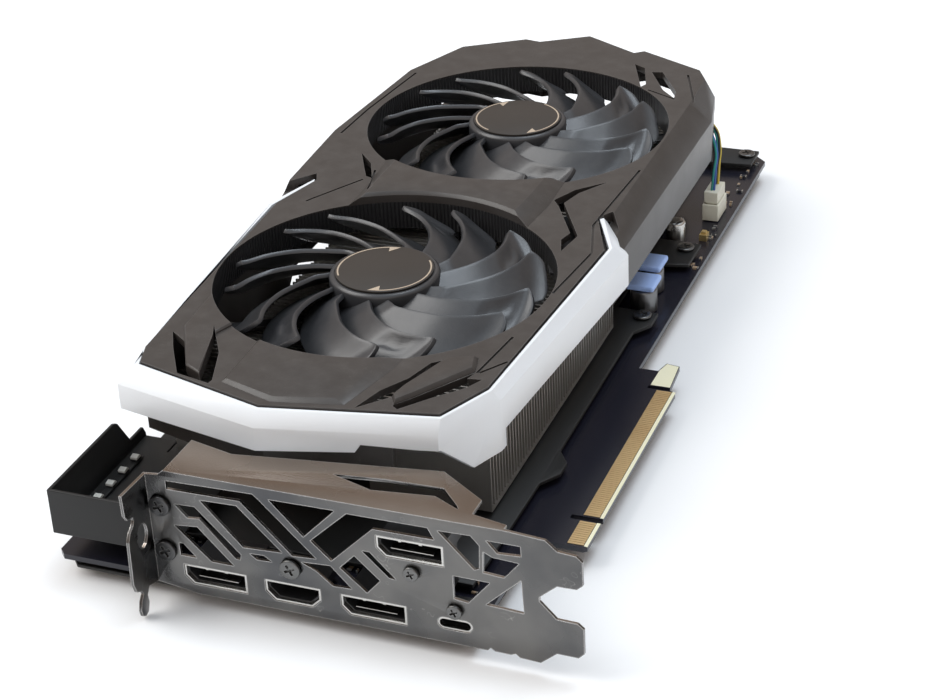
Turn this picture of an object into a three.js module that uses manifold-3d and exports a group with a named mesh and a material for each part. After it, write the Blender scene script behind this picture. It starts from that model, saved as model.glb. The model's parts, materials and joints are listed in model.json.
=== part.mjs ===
// Dual-fan graphics card: slot bracket, circuit board, finned cooler, shroud and two axial fans.
// Millimetres, +Z up. The card lies on its backplate with the fans facing up.
// While parts are drawn, x = 0 is the outer face of the screw tab, y = 0 the outer face of the
// slot bracket and z = 0 the bracket's lower edge; the finished card is then centred on its footprint.
import * as THREE from 'three';
import { mergeVertices } from 'three/addons/utils/BufferGeometryUtils.js';
import Module from 'manifold-3d';

const wasm = await Module();
wasm.setup();

// ---- driving dimensions -------------------------------------------------------------------
const GAP = 0.3;                     // clearance left between neighbouring pieces
const SHEET = 0.86;                  // bracket sheet metal

const BOARD = { left: -31, right: 90.7, front: 1.6, back: 303, bottom: 1.7, top: 3.3 };
const EDGE = { tip: 105.4, root: 96.5, start: 46.5, key: 58.15, keyWidth: 1.9, end: 131.3 };

const FAN = {
  x: 27.1, frontY: 100.3, rearY: 214.2,
  radius: 47.4, hubRadius: 16.2, hubTop: 48.6, hubBottom: 37.2, pairs: 7,
  bladeTop: 47.1, bladeBottom: 38.4, bladeThickness: 1.2,
};
const OPENING_RADIUS = 50;
const MOUNT = { bottom: 34.9, top: 36.1, reach: 51.9, riserTop: 44.5 };

const SHROUD = { top: 47, skin: 2.2, wallBottom: 16, sideBottom: 26, openBottom: 36, crease: 40, raised: 50, skirtEnd: 58 };
const FIN = { pitch: 2.2, thickness: 0.6, bottom: 8, top: 33.7, left: -9, wideLeft: -17.6 };
const FIN_FRONT = { start: 48, count: 50, wideCount: 17, right: 78 };
const FIN_REAR = { start: 166, count: 41, wideCount: 0, right: 73.8 };
const CHANNEL = { left: 4, right: 42, top: 14.2 };

const GPU = { x: 30, y: 103 };
const PIPE_RADIUS = 2.7;
const PIPE_Z = 10.8;
const PLATE = { bottom: 5.2, top: 6.4 };

// ---- materials ----------------------------------------------------------------------------
const finish = (color, roughness, metalness) => () =>
  new THREE.MeshStandardMaterial({ color, roughness, metalness });

const shroudPlastic = finish(0x4a433f, 0.42, 0.0);
const pearlPlastic = finish(0xe9edf2, 0.35, 0.0);
const bladePlastic = finish(0x3f3d3e, 0.38, 0.0);
const blackPlastic = finish(0x121214, 0.5, 0.0);
const creamPlastic = finish(0xd9d6c6, 0.45, 0.0);
const labelPrint = finish(0x463b31, 0.5, 0.0);
const bracketSteel = finish(0x5c5e61, 0.3, 0.9);
const blackSheet = finish(0x1a1a1c, 0.4, 0.6);
const finAluminium = finish(0x9c9892, 0.4, 0.9);
const pipeCopper = finish(0xb0693c, 0.3, 1.0);
const nickel = finish(0xb9b7b2, 0.3, 1.0);
const solderMask = finish(0x15161b, 0.45, 0.1);
const gold = finish(0xc59a55, 0.35, 0.9);
const screwSteel = finish(0x7d7c79, 0.35, 0.9);
const blackSteel = finish(0x232325, 0.4, 0.8);
const silicon = finish(0x24262b, 0.3, 0.2);
const bluePad = finish(0x7d9bd8, 0.6, 0.0);
const wireJacket = finish(0x3b7f86, 0.5, 0.0);

// ---- solid helpers ------------------------------------------------------------------------
function toSolid(geometry) {
  const bare = geometry.clone();
  bare.deleteAttribute('normal');
  bare.deleteAttribute('uv');
  const merged = mergeVertices(bare, 1e-4);
  return new wasm.Manifold(new wasm.Mesh({
    numProp: 3,
    vertProperties: new Float32Array(merged.attributes.position.array),
    triVerts: new Uint32Array(merged.index.array),
  }));
}

function toGeometry(solid) {
  const mesh = solid.getMesh();
  const geometry = new THREE.BufferGeometry();
  geometry.setAttribute('position', new THREE.BufferAttribute(new Float32Array(mesh.vertProperties), 3));
  geometry.setIndex(new THREE.BufferAttribute(new Uint32Array(mesh.triVerts), 1));
  return geometry;
}

const join = (...solids) => solids.reduce((whole, next) => whole.add(next));
const cut = (base, ...tools) => tools.reduce((rest, tool) => rest.subtract(tool), base);

function prism(outline, depth) {
  const shape = new THREE.Shape(outline.map(([u, v]) => new THREE.Vector2(u, v)));
  return new THREE.ExtrudeGeometry(shape, { depth, bevelEnabled: false });
}

// A plate with its holes cut right through.
function pierced(make, outline, from, to, holes = []) {
  return cut(make(outline, from, to), ...holes.map((hole) => make(hole, from - 1, to + 1)));
}

// Level plate: outline in x, y.
function plate(outline, z0, z1, holes) {
  return pierced((edge, from, to) => toSolid(prism(edge, to - from).translate(0, 0, from)),
    outline, z0, z1, holes);
}

// Upright plate facing the bracket side: outline in x, z, thickness from y0 to y1.
function facePlate(outline, y0, y1, holes) {
  return pierced((edge, from, to) => toSolid(prism(edge, to - from).rotateX(Math.PI / 2).translate(0, to, 0)),
    outline, y0, y1, holes);
}

// Upright plate facing the card's long side: outline in y, z, thickness from x0 to x1.
function sidePlate(outline, x0, x1, holes) {
  const turn = new THREE.Matrix4().makeBasis(
    new THREE.Vector3(0, 1, 0), new THREE.Vector3(0, 0, 1), new THREE.Vector3(1, 0, 0));
  return pierced((edge, from, to) => toSolid(prism(edge, to - from).applyMatrix4(turn).translate(from, 0, 0)),
    outline, x0, x1, holes);
}

function box(x0, x1, y0, y1, z0, z1) {
  return toSolid(new THREE.BoxGeometry(x1 - x0, y1 - y0, z1 - z0)
    .translate((x0 + x1) / 2, (y0 + y1) / 2, (z0 + z1) / 2));
}

// Turned solid about a vertical axis at x, y: profile of radius, z pairs.
function turned(profile, x, y, sides = 24) {
  const points = profile.map(([r, z]) => new THREE.Vector2(r, z));
  return toSolid(new THREE.LatheGeometry(points, sides).rotateX(Math.PI / 2).translate(x, y, 0));
}

function post(x, y, radius, z0, z1, sides = 16) {
  return turned([[0, z0], [radius, z0], [radius, z1], [0, z1]], x, y, sides);
}

// Round bar along y.
function rod(x, z, radius, y0, y1, sides = 14) {
  const bar = new THREE.CylinderGeometry(radius, radius, y1 - y0, sides);
  return toSolid(bar.translate(x, (y0 + y1) / 2, z));
}

function tube(points, radius, steps, sides = 8) {
  const path = new THREE.CatmullRomCurve3(points.map((p) => new THREE.Vector3(...p)), false, 'centripetal');
  const section = new THREE.Shape(circle(0, 0, radius, sides).map(([u, v]) => new THREE.Vector2(u, v)));
  return toSolid(new THREE.ExtrudeGeometry(section, { steps, extrudePath: path, bevelEnabled: false }));
}

// Closed solid through level rings of equal point count, lowest ring first.
function loft(rings) {
  const count = rings[0].length;
  const position = [];
  const index = [];
  for (const ring of rings) {
    for (const point of ring) position.push(...point);
  }
  for (let level = 0; level + 1 < rings.length; level += 1) {
    for (let i = 0; i < count; i += 1) {
      const a = level * count + i;
      const b = level * count + ((i + 1) % count);
      index.push(a, b, b + count, a, b + count, a + count);
    }
  }
  const flat = rings[0].map((p) => new THREE.Vector2(p[0], p[1]));
  const last = (rings.length - 1) * count;
  for (const [a, b, c] of THREE.ShapeUtils.triangulateShape(flat, [])) {
    index.push(a, c, b);
    index.push(last + a, last + b, last + c);
  }
  const geometry = new THREE.BufferGeometry();
  geometry.setAttribute('position', new THREE.Float32BufferAttribute(position, 3));
  geometry.setIndex(index);
  return toSolid(geometry);
}

const level = (outline, z) => outline.map(([x, y]) => [x, y, z]);

const circle = (x, y, radius, sides = 12) => Array.from({ length: sides }, (_, i) => [
  x + radius * Math.cos((i / sides) * 2 * Math.PI),
  y + radius * Math.sin((i / sides) * 2 * Math.PI),
]);

const rectangle = (x0, x1, y0, y1) => [[x0, y0], [x1, y0], [x1, y1], [x0, y1]];

// ---- the card -----------------------------------------------------------------------------
const card = new THREE.Group();

function add(name, solid, material) {
  const mesh = new THREE.Mesh(toGeometry(solid), material());
  mesh.name = name;
  card.add(mesh);
}

// ---- circuit board and what is soldered to it ---------------------------------------------
const HEATSINK_SCREWS = [[-24, -24], [24, -24], [24, 24], [-24, 24]].map(([dx, dy]) => [GPU.x + dx, GPU.y + dy]);

function circuitBoard() {
  const { left, right, front, back } = BOARD;
  const keyEnd = EDGE.key + EDGE.keyWidth;
  const outline = [
    [left + 2, front], [right, front], [right, EDGE.start - 0.8], [EDGE.tip - 1, EDGE.start - 0.8],
    [EDGE.tip, EDGE.start], [EDGE.tip, EDGE.key], [EDGE.root, EDGE.key], [EDGE.root, keyEnd],
    [EDGE.tip, keyEnd], [EDGE.tip, EDGE.end - 0.8], [EDGE.tip - 1, EDGE.end], [EDGE.root, EDGE.end],
    [EDGE.root, EDGE.end + 1.6], [103.2, EDGE.end + 1.6], [102.3, 146.3], [98, 147], [96.8, 142],
    [right, 142], [right, back - 4], [right - 4, back], [left + 2, back], [left, back - 2], [left, front + 2],
  ];
  const holes = HEATSINK_SCREWS.map(([x, y]) => circle(x, y, 1.9, 10));
  return plate(outline, BOARD.bottom, BOARD.top, holes);
}

function boxOnBoard(x, y, width, length, height) {
  const bottom = BOARD.top + GAP;
  return box(x - width / 2, x + width / 2, y - length / 2, y + length / 2, bottom, bottom + height);
}

function canOnBoard(x, y, radius, height) {
  const bottom = BOARD.top + GAP;
  const lip = 0.6;
  const profile = [[0, 0], [radius, 0], [radius, height - lip], [radius - lip, height], [0, height]];
  return turned(profile.map(([r, z]) => [r, z + bottom]), x, y, 16);
}

// Keyed power inlet on the long edge, its cells opening towards -x.
function powerSocket(y0, columns) {
  const cell = 4.2;
  const bottom = BOARD.top + GAP;
  const width = columns * cell + 1.6;
  let solid = box(BOARD.left - 1, BOARD.left + 12.5, y0, y0 + width, bottom, bottom + 10);
  solid = solid.add(box(BOARD.left + 1, BOARD.left + 6, y0 + width / 2 - 2, y0 + width / 2 + 2, bottom + 10, bottom + 11.6));
  for (let column = 0; column < columns; column += 1) {
    for (let row = 0; row < 2; row += 1) {
      const y = y0 + 1.2 + column * cell;
      const z = bottom + 1.1 + row * cell;
      solid = solid.subtract(box(BOARD.left - 2, BOARD.left + 9, y, y + cell - 0.8, z, z + cell - 0.8));
    }
  }
  return solid;
}

add('circuit_board', circuitBoard(), solderMask);
add('edge_contacts_short', box(99.7, 104.3, EDGE.start, EDGE.key - 0.5, 3.45, 3.6), gold);
add('edge_contacts_long', box(99.7, 104.3, EDGE.key + EDGE.keyWidth + 0.5, EDGE.end - 0.6, 3.45, 3.6), gold);

const dieHalf = [12.5, 11];
add('gpu_chip', join(
  boxOnBoard(GPU.x, GPU.y, 37, 37, 1),
  box(GPU.x - dieHalf[0], GPU.x + dieHalf[0], GPU.y - dieHalf[1], GPU.y + dieHalf[1], 4.5, 5.5),
), silicon);

const MEMORY = [[-1, 92], [-1, 114], [61, 92], [61, 114]];
MEMORY.forEach(([x, y], i) => {
  add(`memory_chip_${i + 1}`, boxOnBoard(x, y, 11, 14, 1.1), silicon);
});

add('capacitor', canOnBoard(77.7, 227.6, 3.3, 8), nickel);
add('power_socket_eight', powerSocket(232, 4), blackPlastic);
add('power_socket_six', powerSocket(214, 3), blackPlastic);

const CHOKES = [[81.2, 178.6], [79.4, 192.2]];
CHOKES.forEach(([x, y], i) => {
  add(`choke_${i + 1}`, canOnBoard(x, y, 4.4, 8), nickel);
  add(`thermal_pad_${i + 1}`, box(x - 4.6, x + 4.6, y - 5, y + 5, 12.2, 14.2), bluePad);
});

// ---- fan header, its plug and the two fan leads --------------------------------------------
const HEADER = { x: 84.6, y: 251.5, width: 5.6, length: 11.4, top: 9.6 };
add('fan_header', cut(
  boxOnBoard(HEADER.x, HEADER.y, HEADER.width, HEADER.length, HEADER.top - BOARD.top - GAP),
  box(HEADER.x - 2, HEADER.x + 2, HEADER.y - 4.9, HEADER.y + 4.9, 4.8, HEADER.top + 1),
), creamPlastic);
add('fan_plug', join(
  box(HEADER.x - 1.6, HEADER.x + 1.6, HEADER.y - 4.5, HEADER.y + 4.5, 5.2, HEADER.top + 0.6),
  box(HEADER.x - 2.4, HEADER.x + 2.4, HEADER.y - 4.9, HEADER.y + 4.9, HEADER.top + 0.4, HEADER.top + 4.4),
), creamPlastic);

// Each lead rises from the plug, slips under the shroud's edge and follows a mount arm to the motor.
const LEAD = { radius: 0.9, level: 34.9, plugTop: HEADER.top + 4.4 + GAP };
const onLevel = (x, y) => [x, y, LEAD.level];
add('fan_rear_lead', tube([
  [HEADER.x, HEADER.y + 2.6, LEAD.plugTop], [HEADER.x, 255.4, LEAD.plugTop + 6], [84.2, 258.5, 26],
  [81, 262.3, 31.5], [76.5, 260.5, 34.5], onLevel(73.5, 252), onLevel(69, 243.8), onLevel(62.2, 239.3),
  onLevel(50, 232.3), onLevel(37.4, 225),
], LEAD.radius, 30), wireJacket);
add('fan_front_lead', tube([
  [HEADER.x, HEADER.y - 2.6, LEAD.plugTop], [HEADER.x, 250.6, LEAD.plugTop + 6], [84, 254.4, 26.5],
  [80.4, 256.6, 32.4], onLevel(78.6, 251), onLevel(79.8, 236), onLevel(80.1, 200), onLevel(80.1, 150),
  onLevel(79.6, 112), onLevel(78.4, 97), onLevel(75.6, 86), onLevel(71, 80.6), onLevel(65, 83.2),
  onLevel(54, 89.6), onLevel(41.6, 96.8),
], LEAD.radius, 48), wireJacket);

// ---- stiffening plate, side tray and backplate ---------------------------------------------
const MID_PLATE_OUTLINE = [
  [-29.5, 17], [84, 17], [84.5, 68], [88.5, 74], [88.5, 80], [84.5, 86], [84, 158], [88, 164], [88, 172],
  [74, 172.5], [74, 199], [80, 205], [88, 207], [88, 222.5], [70, 223.3], [70, 287], [88, 289], [88, 301],
  [-16, 301], [-16, 182], [-29.5, 178],
];
add('mid_plate', plate(MID_PLATE_OUTLINE, PLATE.bottom, PLATE.top, [
  rectangle(GPU.x - 27, GPU.x + 27, GPU.y - 27, GPU.y + 27),
]), blackSheet);

const PLATE_SCREWS = [[83.9, 168], [83.9, 217.5], [84.6, 296]];
PLATE_SCREWS.forEach(([x, y], i) => {
  const z = PLATE.top + GAP;
  const profile = [[0, z], [3.1, z], [3.1, z + 0.5], [1.9, z + 0.6], [1.7, z + 1.5], [0.8, z + 1.9], [0, z + 1.9]];
  add(`plate_screw_${i + 1}`, turned(profile, x, y, 16), screwSteel);
});

const TRAY = { left: -31, front: 1.2, bottom: 10, floor: 10.9, wall: 23.8, sheet: 1 };
const TRAY_SIDE = [
  [TRAY.front, TRAY.bottom], [52.5, TRAY.bottom], [52.5, 11.8], [51.3, 14.2], [44, 14.2],
  [38.4, TRAY.wall - 0.9], [36.6, TRAY.wall], [TRAY.front, TRAY.wall],
];
add('side_tray', join(
  plate([[TRAY.left, TRAY.front], [4, TRAY.front], [4, 44], [-20, 46], [-20, 52.5], [TRAY.left, 52.5]],
    TRAY.bottom, TRAY.floor),
  box(TRAY.left, -0.6, TRAY.front, TRAY.front + TRAY.sheet, TRAY.bottom, TRAY.wall),
  sidePlate(TRAY_SIDE, TRAY.left, TRAY.left + TRAY.sheet),
), blackSheet);

const CLIP = { pitch: 7.1, first: 17.3, left: -26.9, right: -24.7, bottom: 11.2 };
function clipStrip() {
  const { pitch, first, left, right, bottom } = CLIP;
  let solid = box(left, right, first - 2.5, first + 3 * pitch + 2.5, bottom, bottom + 0.5);
  for (let i = 0; i < 4; i += 1) {
    const y = first + i * pitch;
    const hook = [[y - 1.3, bottom], [y + 1.3, bottom], [y + 1.3, 12.6], [y + 0.4, 13.4], [y - 1.3, 13]];
    solid = solid.add(sidePlate(hook, left, right));
  }
  return solid;
}
add('tray_clip_strip', clipStrip(), creamPlastic);

const slantedSlot = (x, y) => [[x, y], [x + 3, y], [x + 15, y + 20], [x + 12, y + 20]];
const BACKPLATE_VENTS = [];
for (let i = 0; i < 5; i += 1) {
  BACKPLATE_VENTS.push(slantedSlot(-16 + i * 18, 175));
  BACKPLATE_VENTS.push(slantedSlot(-16 + i * 18, 250));
}
add('backplate', plate(
  [[-26, 2.6], [86, 2.6], [89.5, 6], [89.5, 296], [84, 301.5], [-24, 301.5], [-30, 295.5], [-30, 7]],
  -1.3, -0.2, [rectangle(GPU.x - 31, GPU.x + 31, GPU.y - 31, GPU.y + 31), ...BACKPLATE_VENTS],
), blackSheet);

HEATSINK_SCREWS.forEach(([x, y], i) => {
  const profile = [[0, 0.2], [3.4, 0.2], [3.4, 1.3], [1.4, 1.3], [1.4, 7.4], [0, 7.4]];
  add(`heatsink_screw_${i + 1}`, turned(profile, x, y, 12), screwSteel);
});

// ---- cooler: base, heat pipes and fins ------------------------------------------------------
add('heatsink_base', plate(
  rectangle(GPU.x - 26.4, GPU.x + 26.4, GPU.y - 26.4, GPU.y + 26.4), 5.8, 7.7,
  HEATSINK_SCREWS.map(([x, y]) => circle(x, y, 1.7, 10)),
), nickel);

function fin(left, right, y) {
  const { bottom, top } = FIN;
  const outline = [
    [left, bottom], [CHANNEL.left, bottom], [CHANNEL.left, CHANNEL.top], [CHANNEL.right, CHANNEL.top],
    [CHANNEL.right, bottom], [right, bottom], [right, top], [left, top],
  ];
  return facePlate(outline, y, y + FIN.thickness);
}

function finStack({ start, count, wideCount, right }) {
  const end = start + (count - 1) * FIN.pitch + FIN.thickness;
  let stack = box(right - 4, right, start, end, FIN.bottom, FIN.bottom + 1.2)
    .add(box(FIN.left, FIN.left + 4, start, end, FIN.bottom, FIN.bottom + 1.2));
  for (let i = 0; i < count; i += 1) {
    const left = i < wideCount ? FIN.wideLeft : FIN.left;
    stack = stack.add(fin(left, right, start + i * FIN.pitch));
  }
  return stack;
}
add('fin_stack_front', finStack(FIN_FRONT), finAluminium);
add('fin_stack_rear', finStack(FIN_REAR), finAluminium);

// Two pipes turn up in front of the fins, two run back under the rear stack.
const PIPE_PITCH = 8;
for (let i = 0; i < 2; i += 1) {
  const x = 9 + i * PIPE_PITCH;
  add(`heat_pipe_${i + 1}`, tube([
    [x, 140, PIPE_Z], [x, 100, PIPE_Z], [x, 56, PIPE_Z], [x, 42, PIPE_Z + 0.6], [x, 35.5, PIPE_Z + 7],
    [x, 36, PIPE_Z + 14], [x, 42, PIPE_Z + 17.6], [x, 47.4, PIPE_Z + 18],
  ], PIPE_RADIUS, 26, 10), pipeCopper);
}
for (let i = 0; i < 2; i += 1) {
  const x = 29 + i * PIPE_PITCH;
  add(`heat_pipe_${i + 3}`, rod(x, PIPE_Z, PIPE_RADIUS, 60, 252, 12), pipeCopper);
}

// ---- shroud and trim ------------------------------------------------------------------------
// Outlines run from the front left corner, counter-clockwise seen from above.
const SHROUD_WALL = [
  [-17.6, 34.7], [23.6, 23.1], [70.9, 32.2], [78.1, 48.6], [83.6, 137], [84.5, 148], [84.5, 247], [80, 268],
  [74.5, 275.5], [50, 288.2], [46, 285.6], [26, 297], [10, 287.4], [4, 288.6], [-16.5, 276], [-27, 250],
  [-31, 195], [-31, 152], [-25.6, 136], [-22.2, 69], [-20.2, 42.6],
];
const SHROUD_TOP_EDGE = [
  [-17.6, 34.7], [23.6, 23.1], [70.9, 32.2], [78.1, 48.6], [83.4, 137], [78.5, 150], [77.5, 244], [76.8, 266.5],
  [72.9, 273.8], [49.2, 286.3], [46, 283.8], [25.8, 295.5], [10, 285.9], [4.3, 287], [-15.5, 274.5],
  [-25.5, 248.9], [-30, 193.3], [-28, 153.5], [-24.6, 136], [-21.6, 69], [-20.2, 42.6],
];

// Outline moved inwards by a distance, corner by corner.
function inset(outline, distance) {
  const count = outline.length;
  return outline.map((point, i) => {
    const before = outline[(i + count - 1) % count];
    const after = outline[(i + 1) % count];
    const a = new THREE.Vector2(point[0] - before[0], point[1] - before[1]).normalize();
    const b = new THREE.Vector2(after[0] - point[0], after[1] - point[1]).normalize();
    const inward = new THREE.Vector2(-a.y - b.y, a.x + b.x).normalize();
    const reach = distance / Math.max(0.5, inward.dot(new THREE.Vector2(-a.y, a.x)));
    return [point[0] + inward.x * reach, point[1] + inward.y * reach];
  });
}

const TRIM_OUTER = [
  [-22.5, 29.5], [23.3, 19.2], [71.5, 29], [80.6, 50.6], [88, 141], [77.6, 157.6],
  [75.2, 153.4], [83.9, 135.4], [78.5, 48.3], [71.2, 31.8], [23.6, 22.7], [-17.9, 34.4], [-20.6, 42.3],
  [-22.6, 69], [-26, 136], [-20.5, 155.5], [-21.5, 159.5], [-33.5, 142], [-28, 58],
];
const TRIM_TOP = [
  [-19, 33.5], [23.6, 21.8], [71.8, 31], [79.4, 48.2], [84.8, 135.6], [76.2, 154.4],
  [75.2, 153.4], [83.9, 135.4], [78.5, 48.3], [71.2, 31.8], [23.6, 22.7], [-17.9, 34.4], [-20.6, 42.3],
  [-22.6, 69], [-26, 136], [-20.5, 155.5], [-21, 157], [-27, 138], [-23.6, 69],
];

// Air windows through the shroud's rear wall.
const REAR_WINDOWS = [[3, 12, 275, 300, 33, 37.5], [31, 39, 275, 300, 32, 37], [-28, -18, 262, 280, 28, 32.5]];

function shroud() {
  const { top, skin, wallBottom, sideBottom, openBottom, crease, raised } = SHROUD;
  const outer = loft([level(SHROUD_WALL, wallBottom), level(SHROUD_WALL, crease), level(SHROUD_TOP_EDGE, top)]);
  const hollow = loft([
    level(inset(SHROUD_WALL, skin), wallBottom - 1),
    level(inset(SHROUD_WALL, skin), crease - 1),
    level(inset(SHROUD_TOP_EDGE, skin), top - skin),
  ]);
  const bridge = plate([[-4, 146], [58, 144], [62, 158], [56, 173], [-6, 171]], top - 1, raised);
  const frontPanel = plate([[8, 58], [12, 33.5], [25, 26.5], [53, 30], [56, 58]], top - 1, top + 1.4);
  const tipSeats = join(
    plate([[82, 132], [90, 141], [77.5, 159.5], [73.2, 154]], 43.6, raised),
    plate([[-26.5, 130], [-36, 142], [-21.6, 162], [-18.2, 155]], 43.6, raised),
  );
  let solid = cut(join(outer, bridge, frontPanel), hollow, tipSeats);
  for (const y of [FAN.frontY, FAN.rearY]) {
    solid = solid.subtract(post(FAN.x, y, OPENING_RADIUS, 20, 60, 48));
  }
  const slots = [
    [[-15.5, 52], [-11, 50.5], [-7.5, 37.5], [-11.5, 38]],
    [[-1.5, 52], [1, 49.5], [3.6, 33.5], [-3.2, 35.5]],
    [[58, 158], [70.5, 176], [72, 173], [62, 157.5], [72.2, 140], [69.5, 132.5], [68, 136]],
    [[54, 33], [63, 50], [66.5, 48.5], [60, 34]],
    [[50, 272.5], [56, 258], [58.6, 259.6], [55, 271.6]],
    [[61, 266], [70.5, 248.6], [73.4, 250.4], [65, 266.4]],
  ];
  for (const outline of slots) solid = solid.subtract(plate(outline, 40, 60));
  return cut(
    solid,
    box(-60, 120, 0, 60, wallBottom - 5, sideBottom),
    box(-10, 120, 59, 320, wallBottom - 5, sideBottom),
    box(SHROUD.skirtEnd, 120, 0, 148, sideBottom - 5, openBottom),
    box(60, 120, 252, 320, sideBottom - 5, openBottom),
    ...REAR_WINDOWS.map((window) => box(...window)),
  );
}
add('shroud', shroud(), shroudPlastic);

function whiteTrim() {
  const body = loft([level(TRIM_OUTER, 26.5), level(TRIM_OUTER, 42), level(TRIM_TOP, 46.4)]);
  const underFront = facePlate(
    [[-40, 20], [66, 20], [66, 37.6], [51.2, 38.4], [49.6, 36], [22.5, 35], [-40, 34]], 0, 46.5);
  const underProw = sidePlate([[10, 20], [40.6, 20], [40.6, 26.6], [29.6, 37.6], [10, 37.6]], 65.9, 100);
  const underSide = sidePlate([[53.6, 20], [170, 20], [170, 32], [53.6, 32]], 60, 100);
  const underLeft = box(-60, 40, 46.4, 170, 20, 34);
  const underTips = join(
    plate([[60, 133], [84.1, 133], [85, 142], [95, 144.5], [95, 170], [60, 170]], 20, 43.9),
    plate([[-50, 170], [-50, 145], [-28.2, 142.5], [-26.2, 133], [0, 133], [0, 170]], 20, 43.9),
  );
  return cut(body, underFront, underProw, underSide, underLeft, underTips);
}
add('white_trim', whiteTrim(), pearlPlastic);

// ---- fans -----------------------------------------------------------------------------------
// High edges of the two blade shapes: radius, then degrees ahead of the blade's tip direction.
const WIDE_EDGE = [[15.4, -46], [20, -39], [26, -27.5], [33, -17], [40, -5.5], [46.6, 1.5]];
const FOLDED_EDGE = [[15.4, -33], [21, -26.5], [28, -19.5], [35, -11], [42, -0.5], [46.6, 0.5]];
const BLADE_CHORD = 15.8;
const FIRST_TIP = { wide: -17.9, folded: 1.4 };

// One swept blade: thin slanted sections from hub to tip, falling away behind the high edge.
function blade(y, edge, tip) {
  return edge.map(([radius, ahead]) => {
    const high = THREE.MathUtils.degToRad(tip + ahead);
    const low = high - BLADE_CHORD / radius;
    const crown = FAN.bladeTop + ((radius - FAN.hubRadius) / (FAN.radius - FAN.hubRadius));
    const corners = [
      [high, crown], [low, FAN.bladeBottom + FAN.bladeThickness],
      [low, FAN.bladeBottom], [high, crown - FAN.bladeThickness],
    ];
    return corners.map(([angle, z]) => [FAN.x + radius * Math.cos(angle), y + radius * Math.sin(angle), z]);
  });
}

// Closed solid through four-sided sections that stand upright.
function sweptBar(rings) {
  const index = [];
  const last = (rings.length - 1) * 4;
  for (let station = 0; station + 1 < rings.length; station += 1) {
    for (let i = 0; i < 4; i += 1) {
      const a = station * 4 + i;
      const b = station * 4 + ((i + 1) % 4);
      index.push(a, b, b + 4, a, b + 4, a + 4);
    }
  }
  index.push(0, 2, 1, 0, 3, 2, last, last + 1, last + 2, last, last + 2, last + 3);
  const geometry = new THREE.BufferGeometry();
  geometry.setAttribute('position', new THREE.Float32BufferAttribute(rings.flat(2), 3));
  geometry.setIndex(index);
  return toSolid(geometry);
}

function impeller(y, start) {
  const { hubRadius, hubTop, hubBottom } = FAN;
  let solid = turned([
    [0, 46], [13.6, 46], [13.6, hubBottom], [hubRadius - 0.6, hubBottom], [hubRadius, hubBottom + 1],
    [hubRadius, hubTop - 0.8], [hubRadius - 0.8, hubTop], [0, hubTop],
  ], FAN.x, y, 28);
  for (let i = 0; i < FAN.pairs; i += 1) {
    const turn = (i / FAN.pairs) * 360 + start;
    solid = solid.add(sweptBar(blade(y, WIDE_EDGE, FIRST_TIP.wide + turn)));
    solid = solid.add(sweptBar(blade(y, FOLDED_EDGE, FIRST_TIP.folded + turn)));
  }
  return solid;
}

function fanMount(y, firstArm) {
  const { bottom, top, reach, riserTop } = MOUNT;
  let solid = post(FAN.x, y, 14.6, bottom, top, 24);
  for (let i = 0; i < 3; i += 1) {
    const turn = firstArm + (i / 3) * 2 * Math.PI;
    const arm = new THREE.BoxGeometry(reach - 4, 4.2, top - bottom)
      .translate((reach + 4) / 2, 0, (top + bottom) / 2).rotateZ(turn).translate(FAN.x, y, 0);
    const riser = new THREE.BoxGeometry(1.6, 6, riserTop - bottom)
      .translate(reach - 0.8, 0, (riserTop + bottom) / 2).rotateZ(turn).translate(FAN.x, y, 0);
    solid = solid.add(toSolid(arm)).add(toSolid(riser));
  }
  return solid;
}

for (const [side, y, firstArm, start] of [
  ['front', FAN.frontY, Math.PI / 2, 0], ['rear', FAN.rearY, -Math.PI / 2, 3],
]) {
  const floor = MOUNT.top + GAP;
  add(`fan_${side}_mount`, fanMount(y, firstArm), blackPlastic);
  add(`fan_${side}_stator`, turned([
    [1.9, floor], [12.6, floor], [12.6, 44.6], [1.9, 44.6], [1.9, floor],
  ], FAN.x, y, 24), pipeCopper);
  add(`fan_${side}_shaft`, post(FAN.x, y, 1.5, floor + 0.4, 45.7, 12), screwSteel);
  add(`fan_${side}_impeller`, impeller(y, start), bladePlastic);
  add(`fan_${side}_label`, post(FAN.x, y, 14.4, FAN.hubTop + GAP, FAN.hubTop + 0.6, 36), labelPrint);
}

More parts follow.
